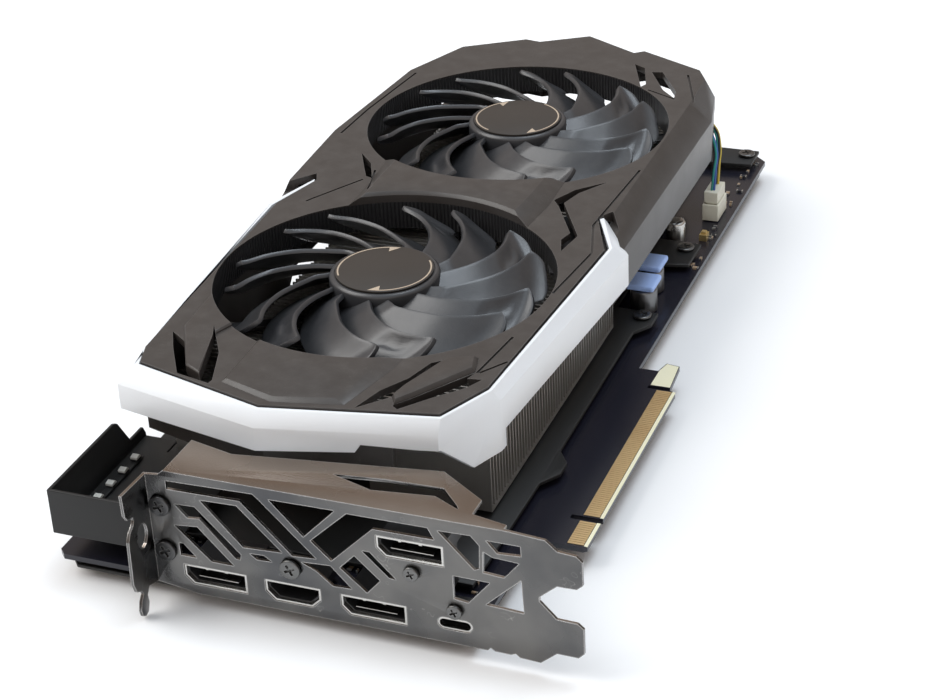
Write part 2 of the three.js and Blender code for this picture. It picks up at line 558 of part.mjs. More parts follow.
// ---- slot bracket, its screws and the display sockets ----------------------------------------
const BRACKET_OUTLINE = [
  [0, 1.9], [12.8, 0], [94.2, 0], [95, 0.9], [96.1, 0.1], [100.4, 0], [101.7, 0.6], [102.8, -0.4],
  [108.3, -0.7], [112.7, 3.1], [118.3, 3], [119.9, 4.6], [119.9, 12], [118.3, 13.4], [112.9, 13.6],
  [108.5, 18.2], [108.5, 19.4], [113.2, 23.6], [118.3, 23.7], [119.9, 25.2], [119.9, 32], [118.3, 33.5],
  [113.5, 33.9], [110.5, 36.6], [99.7, 37.4], [6.3, 37.4], [4.6, 35.9], [0, 35.4],
];
const BRACKET_WINDOWS = [
  [[6.8, 34.4], [31.7, 35], [33.3, 33.6], [48.2, 18.5], [41.4, 18], [27.8, 32.2], [6.7, 31.9]],
  [[16.1, 30.2], [26.7, 30.5], [38.6, 18.4], [27.4, 17.8]],
  [[8.5, 27.6], [14.4, 27.8], [26.5, 15.3], [26.1, 13.6], [24.9, 13.7], [15.4, 24.3], [11.9, 23.9]],
  [[7.7, 20.9], [14.5, 21.6], [24.1, 11.3], [17.6, 11.3]],
  [[8.5, 15.4], [9.7, 15.6], [13.3, 11.6], [8.6, 11.6]],
  [[36.2, 34.2], [54.5, 34.4], [45.1, 24.6]],
  [[57.8, 34.1], [79.6, 34.2], [81.3, 31], [64.6, 30.9], [52.4, 18.7], [47, 23.8]],
  [[61.3, 23.6], [63.3, 23.7], [70.2, 16.6], [68.3, 16.8]],
  [[59, 21.6], [65.7, 15.3], [61.8, 10.8], [54.7, 17.1]],
  [[43.8, 16.6], [52, 17.1], [57.6, 11.1], [52.3, 10.9], [47.8, 14.7]],
  [[29.2, 16.2], [33.2, 16.4], [35.4, 14.9], [31.1, 14.7]],
  [[82.3, 33.9], [91, 34.1], [93.2, 31.6], [92.9, 24.7], [91.6, 24.1]],
  [[95.1, 33.5], [104, 33.5], [104.1, 30.6], [97.9, 30.2]],
  [[94.2, 30], [96.5, 28.8], [103.5, 28.4], [99.4, 23.3], [93.9, 23.7]],
  [[85.8, 21.1], [95.6, 21], [89.5, 13.6], [85.7, 14.1]],
  [[94.3, 14.1], [103.9, 23.4], [104.3, 13.5]],
];
const DISPLAY_PORTS = [[9.1, 3.0], [54.2, 2.8], [65.3, 23.2]];
const PORT_SIZE = { width: 18.2, height: 6, corner: 2.4 };
const HDMI = { x: 32.7, z: 2.8, width: 15.8, height: 6.2, corner: 2.6 };
const USB = { x: 85.6, z: 6, width: 9.6, height: 3.6 };

const displayOutline = (x, z, width, height, corner, shrink = 0) => [
  [x + shrink + corner, z + shrink], [x + width - shrink, z + shrink],
  [x + width - shrink, z + height - shrink], [x + shrink, z + height - shrink],
  [x + shrink, z + shrink + corner],
];
const hdmiOutline = (shrink = 0) => {
  const { x, z, width, height, corner } = HDMI;
  return [
    [x + shrink + corner, z + shrink], [x + width - shrink - corner, z + shrink],
    [x + width - shrink, z + shrink + corner], [x + width - shrink, z + height - shrink],
    [x + shrink, z + height - shrink], [x + shrink, z + shrink + corner],
  ];
};
function slotOutline(shrink = 0) {
  const radius = USB.height / 2 - shrink;
  const reach = USB.width / 2 - USB.height / 2;
  const points = [];
  for (let i = 0; i <= 5; i += 1) {
    const turn = -Math.PI / 2 + (i / 5) * Math.PI;
    points.push([USB.x + reach + radius * Math.cos(turn), USB.z + radius * Math.sin(turn)]);
  }
  return [...points, ...points.map(([x, z]) => [2 * USB.x - x, 2 * USB.z - z])];
}

const SCREWS = [
  { x: 4.3, z: 26.6, radius: 3 }, { x: 4.6, z: 12.6, radius: 3 }, { x: 40.7, z: 14.1, radius: 2.9 },
  { x: 74.6, z: 19.7, radius: 2.1 }, { x: 85.8, z: 10.4, radius: 2.1 },
];

function bracket() {
  const holes = [
    ...BRACKET_WINDOWS,
    ...DISPLAY_PORTS.map(([x, z]) => displayOutline(x, z, PORT_SIZE.width, PORT_SIZE.height, PORT_SIZE.corner)),
    hdmiOutline(),
    slotOutline(),
    ...SCREWS.map(({ x, z }) => circle(x, z, 1.5, 10)),
  ];
  const face = facePlate(BRACKET_OUTLINE, 0, SHEET, holes);
  const tab = sidePlate([
    [SHEET, 1.9], [SHEET, 35.4], [-12.2, 36], [-11.9, 29.6], [-10.8, 27.8], [-8.4, 27.3], [-7.9, 26],
    [-8.6, 24.8], [-10.6, 23.4], [-11.7, 21.4], [-12.3, 8.6], [-11.2, 5.6], [-8.9, 4.3], [-8.2, 3],
    [-9.6, 1.4], [-10.4, -1], [-9.9, -3], [-8.4, -3.8], [-6.9, -3.2], [-6, -0.8], [-6.4, 1.6], [-5, 3.6],
    [-1.6, 2.4],
  ], 0, SHEET, [Array.from({ length: 12 }, (_, i) => [
    -4.9 + 2.7 * Math.cos((i / 6) * Math.PI), 19.3 + 3.7 * Math.sin((i / 6) * Math.PI),
  ])]);
  const flange = plate([
    [6.3, 0], [99.7, 0], [99.7, 2.6], [90, 4.6], [90, 11.2], [76.2, 20.8], [48, 16.6], [20, 12.6], [6.6, 15.9],
  ], 37.4 - SHEET, 37.4, [[[49.4, 11.4], [61.5, 7.4], [78.2, 9.5], [85.9, 5.5], [85, 7], [79, 13.4], [63, 13]]]);
  return join(face, tab, flange);
}
add('slot_bracket', bracket(), bracketSteel);

SCREWS.forEach(({ x, z, radius }, i) => {
  const head = rod(x, z, radius, -0.9, -0.3, 18).add(rod(x, z, 1.1, -0.4, 4.2, 10));
  add(`bracket_screw_${i + 1}`, head, i < 2 ? blackSteel : screwSteel);
});

// Socket shell behind a bracket window with a cavity and a contact tongue inside.
function socket(outer, inner, tongue, depth) {
  const mouth = SHEET + GAP;
  const shell = facePlate(outer, mouth, mouth + depth).subtract(facePlate(inner, mouth - 1, mouth + depth - 2));
  const [x0, x1, z0, z1] = tongue;
  return shell.add(box(x0, x1, mouth + Math.min(4.6, depth / 3), mouth + depth - 1, z0, z1));
}

// The third display socket sits high on a post that reaches down to the board.
DISPLAY_PORTS.forEach(([x, z], i) => {
  const { width, height, corner } = PORT_SIZE;
  const shell = socket(
    displayOutline(x, z, width, height, corner, 0.5),
    displayOutline(x, z, width, height, corner, 0.9),
    [x + 3.4, x + width - 2.2, z + 1.7, z + 3], 14,
  );
  const riser = box(x + 2, x + width - 2, 5, 14, 9.4, z + 0.6);
  add(`display_socket_${i + 1}`, z > 20 ? shell.add(riser) : shell, nickel);
});
add('hdmi_socket', socket(hdmiOutline(0.5), hdmiOutline(0.9),
  [HDMI.x + 2.6, HDMI.x + HDMI.width - 2.6, HDMI.z + 3, HDMI.z + 4.2], 12), nickel);
add('usb_socket', socket(slotOutline(0.25), slotOutline(0.6),
  [USB.x - 3.2, USB.x + 3.2, USB.z - 0.4, USB.z + 0.4], 9), nickel);

// ---- centre the card on its footprint ---------------------------------------------------------
const bounds = new THREE.Box3().setFromObject(card);
card.position.set(-(bounds.min.x + bounds.max.x) / 2, -(bounds.min.y + bounds.max.y) / 2, -bounds.min.z);

export default card;
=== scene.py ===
"""Looks of a dual-fan graphics card: shroud, trim, fans, cooler, board, bracket and sockets."""

import json
import logging
import math
import random
from dataclasses import dataclass, field
from enum import Enum

import bmesh
import bpy
from mathutils import Matrix, Vector

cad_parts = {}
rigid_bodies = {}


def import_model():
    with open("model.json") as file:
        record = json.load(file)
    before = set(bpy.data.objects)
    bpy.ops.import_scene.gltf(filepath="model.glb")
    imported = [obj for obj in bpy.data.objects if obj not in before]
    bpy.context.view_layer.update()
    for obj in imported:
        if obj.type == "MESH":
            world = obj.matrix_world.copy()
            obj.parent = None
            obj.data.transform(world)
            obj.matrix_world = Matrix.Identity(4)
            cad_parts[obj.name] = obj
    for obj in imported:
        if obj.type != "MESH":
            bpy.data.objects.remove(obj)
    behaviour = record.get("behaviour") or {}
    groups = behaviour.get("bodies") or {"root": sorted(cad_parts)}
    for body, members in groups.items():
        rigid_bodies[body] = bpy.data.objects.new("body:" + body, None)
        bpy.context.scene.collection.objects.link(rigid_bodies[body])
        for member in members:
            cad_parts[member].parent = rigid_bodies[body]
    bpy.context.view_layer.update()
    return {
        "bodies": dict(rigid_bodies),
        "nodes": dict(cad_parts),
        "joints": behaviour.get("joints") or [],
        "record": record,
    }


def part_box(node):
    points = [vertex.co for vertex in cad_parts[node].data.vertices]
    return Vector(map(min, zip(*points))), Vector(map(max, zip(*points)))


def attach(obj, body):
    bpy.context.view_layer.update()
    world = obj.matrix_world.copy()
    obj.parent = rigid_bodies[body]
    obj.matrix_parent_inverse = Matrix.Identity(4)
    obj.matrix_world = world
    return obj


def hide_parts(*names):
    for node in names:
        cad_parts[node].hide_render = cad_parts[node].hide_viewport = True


logging.basicConfig(level=logging.INFO, format="%(message)s")
LOG = logging.getLogger("card")

MM = 0.001
BOARD_CORNER = (-31.0, 1.6, 1.7)
GAP = 0.3

Point = tuple[float, float]
Point3 = tuple[float, float, float]
Colour = tuple[float, float, float]
Tree = bpy.types.NodeTree
Node = bpy.types.Node
Socket = bpy.types.NodeSocket
Piece = bpy.types.Object
Value = Socket | float
Tint = Socket | Colour


class Axis(Enum):
    """Which way a flat outline is thickened."""

    UP = "up"
    BACK = "back"


class Body(Enum):
    """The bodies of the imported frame."""

    CARD = "card"
    FRONT_FAN = "front_fan"
    REAR_FAN = "rear_fan"


# ---- card coordinates -----------------------------------------------------------------------
class CardSpace:
    """Turns card millimetres into the frame's metres."""

    def __init__(self) -> None:
        """Places the card's coordinates by the circuit board's lowest corner."""
        low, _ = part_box("circuit_board")
        self.shift = Vector(low) - Vector(BOARD_CORNER) * MM

    def point(self, x: float, y: float, z: float) -> Vector:
        """Returns the frame position of a point given in card millimetres."""
        return self.shift + Vector((x, y, z)) * MM


# ---- shared surface effects -------------------------------------------------------------------
class Effects:
    """Shader node groups that several finishes share."""

    def __init__(self) -> None:
        """Builds every group once."""
        self.tone = self._tone()
        self.grain = self._grain()
        self.wear_and_highlight = self._wear_and_highlight()
        self.dust = self._dust()
        self.scratch = self._scratch()

    @staticmethod
    def _open(name: str, inputs: list[tuple[str, float]], output: str) -> tuple[Tree, Node, Node]:
        """Starts a group of float inputs and one float output.

        Args:
            name: The group's name.
            inputs: Name and default of each input.
            output: Name of the output.

        Returns:
            The tree, its input node and its output node.
        """
        tree = bpy.data.node_groups.new(name, "ShaderNodeTree")
        for label, value in inputs:
            socket = tree.interface.new_socket(name=label, in_out="INPUT", socket_type="NodeSocketFloat")
            socket.default_value = value
        tree.interface.new_socket(name=output, in_out="OUTPUT", socket_type="NodeSocketFloat")
        return tree, tree.nodes.new("NodeGroupInput"), tree.nodes.new("NodeGroupOutput")

    @staticmethod
    def _math(tree: Tree, operation: str, first: Value, second: Value | None = None,
              clamp: bool = False) -> Socket:
        """Adds a Math node to a tree.

        Args:
            tree: The node tree.
            operation: The Math node's operation.
            first: A socket or number.
            second: A socket or number, if the operation has two.
            clamp: Whether the result is held between 0 and 1.

        Returns:
            The node's output socket.
        """
        node = tree.nodes.new("ShaderNodeMath")
        node.operation = operation
        node.use_clamp = clamp
        for slot, value in enumerate((first, second)):
            if value is None:
                continue
            if isinstance(value, (int, float)):
                node.inputs[slot].default_value = value
            else:
                tree.links.new(value, node.inputs[slot])
        return node.outputs[0]

    @staticmethod
    def _noise(tree: Tree, scale: Value, detail: float, vector: Socket | None = None,
               roughness: float = 0.55) -> Socket:
        """Adds an object-space noise to a tree.

        Args:
            tree: The node tree.
            scale: A socket or number.
            detail: Octaves of the noise.
            vector: Optional coordinate socket.
            roughness: Weight of the fine octaves.

        Returns:
            The noise value socket.
        """
        if vector is None:
            vector = tree.nodes.new("ShaderNodeTexCoord").outputs["Object"]
        node = tree.nodes.new("ShaderNodeTexNoise")
        node.inputs["Detail"].default_value = detail
        node.inputs["Roughness"].default_value = roughness
        tree.links.new(vector, node.inputs["Vector"])
        if isinstance(scale, (int, float)):
            node.inputs["Scale"].default_value = scale
        else:
            tree.links.new(scale, node.inputs["Scale"])
        return node.outputs[0]

    def _tone(self) -> Tree:
        """Returns the group of slow colour variation."""
        tree, start, end = self._open("tone_variation", [("Scale", 60.0), ("Contrast", 1.0)], "Tone")
        value = self._noise(tree, start.outputs["Scale"], 3.0)
        centred = self._math(tree, "SUBTRACT", value, 0.5)
        spread = self._math(tree, "MULTIPLY", centred, start.outputs["Contrast"])
        tree.links.new(self._math(tree, "ADD", spread, 0.5, True), end.inputs["Tone"])
        return tree

    def _grain(self) -> Tree:
        """Returns the group of fine moulded or rolled surface grain."""
        tree, start, end = self._open("surface_grain", [("Scale", 2500.0), ("Depth", 1.0)], "Height")
        fine = self._noise(tree, start.outputs["Scale"], 2.0)
        coarse = self._noise(tree, self._math(tree, "MULTIPLY", start.outputs["Scale"], 0.23), 1.0)
        both = self._math(tree, "ADD", fine, self._math(tree, "MULTIPLY", coarse, 0.5))
        tree.links.new(self._math(tree, "MULTIPLY", both, start.outputs["Depth"]), end.inputs["Height"])
        return tree

    def _wear_and_highlight(self) -> Tree:
        """Returns the group that finds edges, for wear and for painted edge highlights."""
        tree, start, end = self._open("edge_wear_and_highlight", [("Radius", 0.0006), ("Amount", 1.0)], "Mask")
        bevel = tree.nodes.new("ShaderNodeBevel")
        bevel.samples = 4
        tree.links.new(start.outputs["Radius"], bevel.inputs["Radius"])
        flat = tree.nodes.new("ShaderNodeNewGeometry")
        dot = tree.nodes.new("ShaderNodeVectorMath")
        dot.operation = "DOT_PRODUCT"
        tree.links.new(bevel.outputs["Normal"], dot.inputs[0])
        tree.links.new(flat.outputs["Normal"], dot.inputs[1])
        turned = self._math(tree, "SUBTRACT", 1.0, dot.outputs["Value"], True)
        patchy = self._noise(tree, 420.0, 4.0)
        strong = self._math(tree, "MULTIPLY", turned, self._math(tree, "MULTIPLY", patchy, 9.0))
        tree.links.new(self._math(tree, "MULTIPLY", strong, start.outputs["Amount"], True),
                       end.inputs["Mask"])
        return tree

    def _dust(self) -> Tree:
        """Returns the group of dust that settles on upward faces."""
        tree, start, end = self._open("settled_dust", [("Scale", 160.0), ("Amount", 0.2)], "Mask")
        split = tree.nodes.new("ShaderNodeSeparateXYZ")
        tree.links.new(tree.nodes.new("ShaderNodeTexCoord").outputs["Normal"], split.inputs[0])
        cloud = self._noise(tree, start.outputs["Scale"], 6.0, None, 0.7)
        sharp = self._math(tree, "POWER", cloud, 2.2)
        lying = self._math(tree, "MULTIPLY", self._math(tree, "MAXIMUM", split.outputs["Z"], 0.0), sharp)
        scaled = self._math(tree, "MULTIPLY", lying, start.outputs["Amount"])
        tree.links.new(self._math(tree, "MULTIPLY", scaled, 2.0, True), end.inputs["Mask"])
        return tree

    def _scratch(self) -> Tree:
        """Returns the group of sparse hairline scratches."""
        tree, start, end = self._open("hairline_scratches", [("Density", 300.0), ("Amount", 0.3)], "Mask")
        coordinate = tree.nodes.new("ShaderNodeTexCoord").outputs["Object"]
        lines = []
        for turn, stretch in ((0.5, 14.0), (2.1, 9.0)):
            mapping = tree.nodes.new("ShaderNodeMapping")
            mapping.inputs["Rotation"].default_value = (0.3, 0.2, turn)
            mapping.inputs["Scale"].default_value = (1.0, stretch, 1.0)
            tree.links.new(coordinate, mapping.inputs["Vector"])
            value = self._noise(tree, start.outputs["Density"], 1.0, mapping.outputs["Vector"])
            near = self._math(tree, "ABSOLUTE", self._math(tree, "SUBTRACT", value, 0.62))
            lines.append(self._math(tree, "LESS_THAN", near, 0.0035))
        both = self._math(tree, "MAXIMUM", lines[0], lines[1])
        patch = self._math(tree, "GREATER_THAN", self._noise(tree, 55.0, 2.0), 0.56)
        masked = self._math(tree, "MULTIPLY", both, patch)
        tree.links.new(self._math(tree, "MULTIPLY", masked, start.outputs["Amount"], True),
                       end.inputs["Mask"])
        return tree


@dataclass(frozen=True)
class Finish:
    """One surface finish, made into a material on first use."""

    name: str
    slot: str
    base: Colour
    shade: Colour
    roughness: float = 0.4
    metallic: float = 0.0
    coat: float = 0.0
    tone_scale: float = 60.0
    contrast: float = 1.4
    grain_scale: float = 2500.0
    grain: float = 0.15
    # Pale edge colour: wear on most finishes, and a painted edge highlight on the bracket and the fins.
    wear_and_highlight: float = 0.0
    wear_and_highlight_colour: Colour = (0.35, 0.34, 0.33)
    dust: float = 0.0
    scratches: float = 0.0
    rough_swing: float = 0.12
    specular: float = 0.5

    def material(self, effects: Effects) -> bpy.types.Material:
        """Returns the finish's material, building it the first time.

        Args:
            effects: The shared node groups.

        Returns:
            The material.
        """
        known = bpy.data.materials.get(self.name)
        if known is not None:
            return known
        made = bpy.data.materials.new(self.name)
        made.use_nodes = True
        tree = made.node_tree
        shader = tree.nodes["Principled BSDF"]
        shader.inputs["Metallic"].default_value = self.metallic
        shader.inputs["Coat Weight"].default_value = self.coat
        shader.inputs["Coat Roughness"].default_value = 0.25
        shader.inputs["Specular IOR Level"].default_value = self.specular
        tone = self._effect(tree, effects.tone, Scale=self.tone_scale, Contrast=self.contrast)
        colour = self._mix(tree, tone, self.base, self.shade)
        colour = self.pattern(tree, colour)
        if self.dust:
            mask = self._effect(tree, effects.dust, Scale=170.0, Amount=self.dust)
            colour = self._mix(tree, mask, colour, (0.55, 0.53, 0.50))
        if self.scratches:
            mask = self._effect(tree, effects.scratch, Density=260.0, Amount=self.scratches)
            colour = self._mix(tree, mask, colour, (0.62, 0.60, 0.57))
        # Pale edges: wear, and on the bracket and the fins a painted edge highlight.
        if self.wear_and_highlight:
            mask = self._effect(tree, effects.wear_and_highlight, Radius=0.0005, Amount=self.wear_and_highlight)
            colour = self._mix(tree, mask, colour, self.wear_and_highlight_colour)
        tree.links.new(colour, shader.inputs["Base Color"])
        swing = effects._math(tree, "MULTIPLY", tone, self.rough_swing)
        rough = effects._math(tree, "ADD", swing, self.roughness - self.rough_swing / 2, True)
        tree.links.new(rough, shader.inputs["Roughness"])
        bump = tree.nodes.new("ShaderNodeBump")
        bump.inputs["Strength"].default_value = self.grain
        bump.inputs["Distance"].default_value = 0.0002
        height = self._effect(tree, effects.grain, Scale=self.grain_scale, Depth=1.0)
        tree.links.new(self.relief(tree, height), bump.inputs["Height"])
        tree.links.new(bump.outputs["Normal"], shader.inputs["Normal"])
        return made

    def pattern(self, tree: Tree, colour: Socket) -> Socket:
        """Returns the colour unchanged; a patterned finish overrides this."""
        return colour

    def relief(self, tree: Tree, height: Value) -> Value:
        """Returns the height unchanged; a ribbed finish overrides this."""
        return height

    @staticmethod
    def _effect(tree: Tree, group: Tree, **values: float) -> Socket:
        """Places a shared group with its own values.

        Args:
            tree: The material's node tree.
            group: The node group.
            **values: Values of the group's inputs.

        Returns:
            The group's output socket.
        """
        node = tree.nodes.new("ShaderNodeGroup")
        node.node_tree = group
        for label, value in values.items():
            node.inputs[label].default_value = value
        return node.outputs[0]

    @staticmethod
    def _mix(tree: Tree, mask: Value, first: Tint, second: Tint) -> Socket:
        """Mixes two colours by a mask.

        Args:
            tree: The material's node tree.
            mask: The mask socket.
            first: Colour or socket where the mask is 0.
            second: Colour or socket where the mask is 1.

        Returns:
            The mixed colour socket.
        """
        node = tree.nodes.new("ShaderNodeMix")
        node.data_type = "RGBA"
        tree.links.new(mask, node.inputs[0])
        for slot, value in ((6, first), (7, second)):
            if isinstance(value, tuple):
                node.inputs[slot].default_value = (*value, 1.0)
            else:
                tree.links.new(value, node.inputs[slot])
        return node.outputs[2]


@dataclass(frozen=True)
class BoardFinish(Finish):
    """Solder mask with faint traces and a bare laminate edge."""

    def pattern(self, tree: Tree, colour: Socket) -> Socket:
        """Paints the board's cut edges in the laminate's own colour.

        Args:
            tree: The material's node tree.
            colour: The colour so far.

        Returns:
            The new colour socket.
        """
        split = tree.nodes.new("ShaderNodeSeparateXYZ")
        tree.links.new(tree.nodes.new("ShaderNodeTexCoord").outputs["Normal"], split.inputs[0])
        level = Effects._math(tree, "ABSOLUTE", split.outputs["Z"])
        side = Effects._math(tree, "LESS_THAN", level, 0.5)
        return self._mix(tree, side, colour, (0.86, 0.82, 0.60))

    def relief(self, tree: Tree, height: Value) -> Value:
        """Adds the low ridges of copper traces under the mask.

        Args:
            tree: The material's node tree.
            height: The height so far.

        Returns:
            The new height socket.
        """
        wave = tree.nodes.new("ShaderNodeTexWave")
        wave.inputs["Scale"].default_value = 170.0
        wave.inputs["Distortion"].default_value = 3.5
        wave.inputs["Detail"].default_value = 1.0
        wave.inputs["Detail Scale"].default_value = 0.25
        tree.links.new(tree.nodes.new("ShaderNodeTexCoord").outputs["Object"], wave.inputs["Vector"])
        trace = Effects._math(tree, "GREATER_THAN", wave.outputs["Fac"], 0.62)
        return Effects._math(tree, "ADD", height, Effects._math(tree, "MULTIPLY", trace, 2.0))


@dataclass(frozen=True)
class RibbedFinish(Finish):
    """Dark plastic with fine upright ribs around a centre."""

    centre: Point3 = (0.0, 0.0, 0.0)
    ribs: float = 260.0

    def relief(self, tree: Tree, height: Value) -> Value:
        """Adds ribs that run up the wall, evenly spaced round the centre.

        Args:
            tree: The material's node tree.
            height: The height so far.

        Returns:
            The new height socket.
        """
        mapping = tree.nodes.new("ShaderNodeMapping")
        mapping.inputs["Location"].default_value = tuple(-c for c in self.centre)
        tree.links.new(tree.nodes.new("ShaderNodeTexCoord").outputs["Object"], mapping.inputs["Vector"])
        split = tree.nodes.new("ShaderNodeSeparateXYZ")
        tree.links.new(mapping.outputs["Vector"], split.inputs[0])
        angle = Effects._math(tree, "ARCTAN2", split.outputs["Y"], split.outputs["X"])
        wave = Effects._math(tree, "SINE", Effects._math(tree, "MULTIPLY", angle, self.ribs))
        return Effects._math(tree, "ADD", height, Effects._math(tree, "MULTIPLY", wave, 3.0))


@dataclass(frozen=True)
class BracketFinish(Finish):
    """Dark nickel with a painted warm reflection that lightens its level flange."""

    def pattern(self, tree: Tree, colour: Socket) -> Socket:
        """Paints a warm reflection onto the faces that look up.

        Args:
            tree: The material's node tree.
            colour: The colour so far.

        Returns:
            The new colour socket.
        """
        split = tree.nodes.new("ShaderNodeSeparateXYZ")
        tree.links.new(tree.nodes.new("ShaderNodeTexCoord").outputs["Normal"], split.inputs[0])
        # Painted reflection: faces that look up take a warm brown that stands in for the warm room mirrored
        # in the metal.
        level = Effects._math(tree, "GREATER_THAN", split.outputs["Z"], 0.8)
        return self._mix(tree, level, colour, (0.27, 0.22, 0.18))


@dataclass(frozen=True)
class ClipFinish(Finish):
    """Pale hooks that stand on a dark strip."""

    level: float = 0.0162

    def pattern(self, tree: Tree, colour: Socket) -> Socket:
        """Darkens the strip under the hooks.

        Args:
            tree: The material's node tree.
            colour: The colour so far.

        Returns:
            The new colour socket.
        """
        split = tree.nodes.new("ShaderNodeSeparateXYZ")
        tree.links.new(tree.nodes.new("ShaderNodeTexCoord").outputs["Object"], split.inputs[0])
        low = Effects._math(tree, "LESS_THAN", split.outputs["Z"], self.level)
        return self._mix(tree, low, colour, (0.02, 0.02, 0.02))


SHROUD = Finish("shroud_satin", "shroud_plastic", (0.036, 0.031, 0.028), (0.045, 0.039, 0.036), 0.34,
                grain=0.10, wear_and_highlight=0.10, dust=0.05, scratches=0.10, specular=0.42)
PEARL = Finish("trim_pearl", "pearl_plastic", (0.80, 0.83, 0.86), (0.84, 0.86, 0.88), 0.34, coat=0.35,
               grain=0.06, grain_scale=3200.0, contrast=1.0, rough_swing=0.05)
BLADE = Finish("blade_satin", "blade_plastic", (0.024, 0.025, 0.028), (0.034, 0.035, 0.039), 0.33, coat=0.25,
               grain=0.22, grain_scale=3000.0, dust=0.05)
DARK = Finish("black_moulded", "black_plastic", (0.012, 0.012, 0.013), (0.020, 0.020, 0.022), 0.45, grain=0.2)
DISC = Finish("hub_disc", "hub_print", (0.030, 0.025, 0.021), (0.038, 0.032, 0.027), 0.42, grain=0.08,
              grain_scale=4000.0)
RING_PRINT = Finish("ring_print", "hub_print", (0.42, 0.33, 0.25), (0.50, 0.41, 0.31), 0.45, grain=0.1)
CREAM = Finish("cream_nylon", "cream_plastic", (0.66, 0.64, 0.52), (0.74, 0.72, 0.62), 0.42, grain=0.12,
               dust=0.05)
CLIP = ClipFinish("clip_nylon", "cream_plastic", (0.62, 0.61, 0.55), (0.70, 0.69, 0.64), 0.4, grain=0.1)
SOCKET = Finish("socket_black", "nickel", (0.010, 0.010, 0.011), (0.016, 0.016, 0.017), 0.3, coat=0.2,
                grain=0.1)
# Bracket: the pale edge colour is partly wear and mostly a painted highlight along the folds; its warm upward
# faces are a painted reflection.
STEEL = BracketFinish("bracket_dark_nickel", "bracket_steel", (0.085, 0.086, 0.09), (0.17, 0.166, 0.16),
                      0.27, 1.0,
               tone_scale=38.0, contrast=2.8, grain=0.16, grain_scale=1800.0, wear_and_highlight=1.0,
               wear_and_highlight_colour=(0.62, 0.60, 0.58), scratches=0.25, rough_swing=0.16)
BLACK_SHEET = Finish("black_sheet", "black_sheet", (0.014, 0.014, 0.015), (0.024, 0.023, 0.023), 0.33, 0.35,
                     coat=0.2, grain=0.2, wear_and_highlight=0.25, scratches=0.15, dust=0.05)
# Fins: the pale edge colour is a painted highlight on the fins' top edges.
FIN = Finish("fin_aluminium", "fin_aluminium", (0.46, 0.445, 0.42), (0.56, 0.545, 0.52), 0.34, 0.6,
             tone_scale=90.0, grain=0.2, wear_and_highlight=0.2, wear_and_highlight_colour=(0.8, 0.78, 0.74))
COPPER = Finish("pipe_copper", "copper", (0.56, 0.27, 0.14), (0.44, 0.20, 0.11), 0.30, 1.0, grain=0.15)
CAN = Finish("can_aluminium", "nickel", (0.17, 0.17, 0.175), (0.24, 0.24, 0.245), 0.34, 1.0, grain=0.15)
DIM_SCREW = Finish("screw_dark_nickel", "screw_steel", (0.13, 0.13, 0.128), (0.19, 0.188, 0.185), 0.32, 1.0,
                   grain=0.2, wear_and_highlight=0.3)
NICKEL = Finish("nickel_shell", "nickel", (0.52, 0.51, 0.49), (0.64, 0.63, 0.60), 0.26, 1.0, grain=0.12,
                scratches=0.15)
MASK = BoardFinish("solder_mask", "solder_mask", (0.009, 0.009, 0.010), (0.015, 0.015, 0.017), 0.34,
                   coat=0.15,
                   grain=0.3, dust=0.05)
GOLD = Finish("edge_gold", "gold", (0.86, 0.60, 0.30), (0.92, 0.68, 0.36), 0.36, 0.85, grain=0.08)
SCREW = Finish("screw_zinc", "screw_steel", (0.42, 0.41, 0.39), (0.55, 0.54, 0.52), 0.30, 1.0, grain=0.2,
               wear_and_highlight=0.4, wear_and_highlight_colour=(0.75, 0.74, 0.72))
BLACK_SCREW = Finish("screw_black", "black_steel", (0.06, 0.06, 0.062), (0.10, 0.10, 0.10), 0.32, 1.0,
                     wear_and_highlight=0.5,
                     wear_and_highlight_colour=(0.4, 0.39, 0.38))
CHIP = Finish("chip_epoxy", "chip_epoxy", (0.018, 0.019, 0.021), (0.03, 0.031, 0.033), 0.42, grain=0.25)
PAD = Finish("pad_blue", "thermal_pad", (0.34, 0.50, 0.90), (0.42, 0.58, 0.96), 0.55, grain=0.5,
             grain_scale=900.0,
             dust=0.05)
CERAMIC = Finish("ceramic_tan", "chip_epoxy", (0.34, 0.24, 0.15), (0.44, 0.32, 0.22), 0.5, grain=0.2)
SOLDER = Finish("solder_tin", "nickel", (0.60, 0.60, 0.58), (0.74, 0.74, 0.72), 0.28, 1.0, grain=0.4,
                grain_scale=1500.0)
BRASS_PART = Finish("part_gold", "gold", (0.62, 0.45, 0.18), (0.72, 0.55, 0.26), 0.35, 0.8, grain=0.2)


def wire_finish(name: str, colour: Colour) -> Finish:
    """Returns the jacket finish of one wire colour."""
    return Finish(f"wire_{name}", "wire_jacket", colour, tuple(c * 0.8 for c in colour), 0.42, grain=0.1)


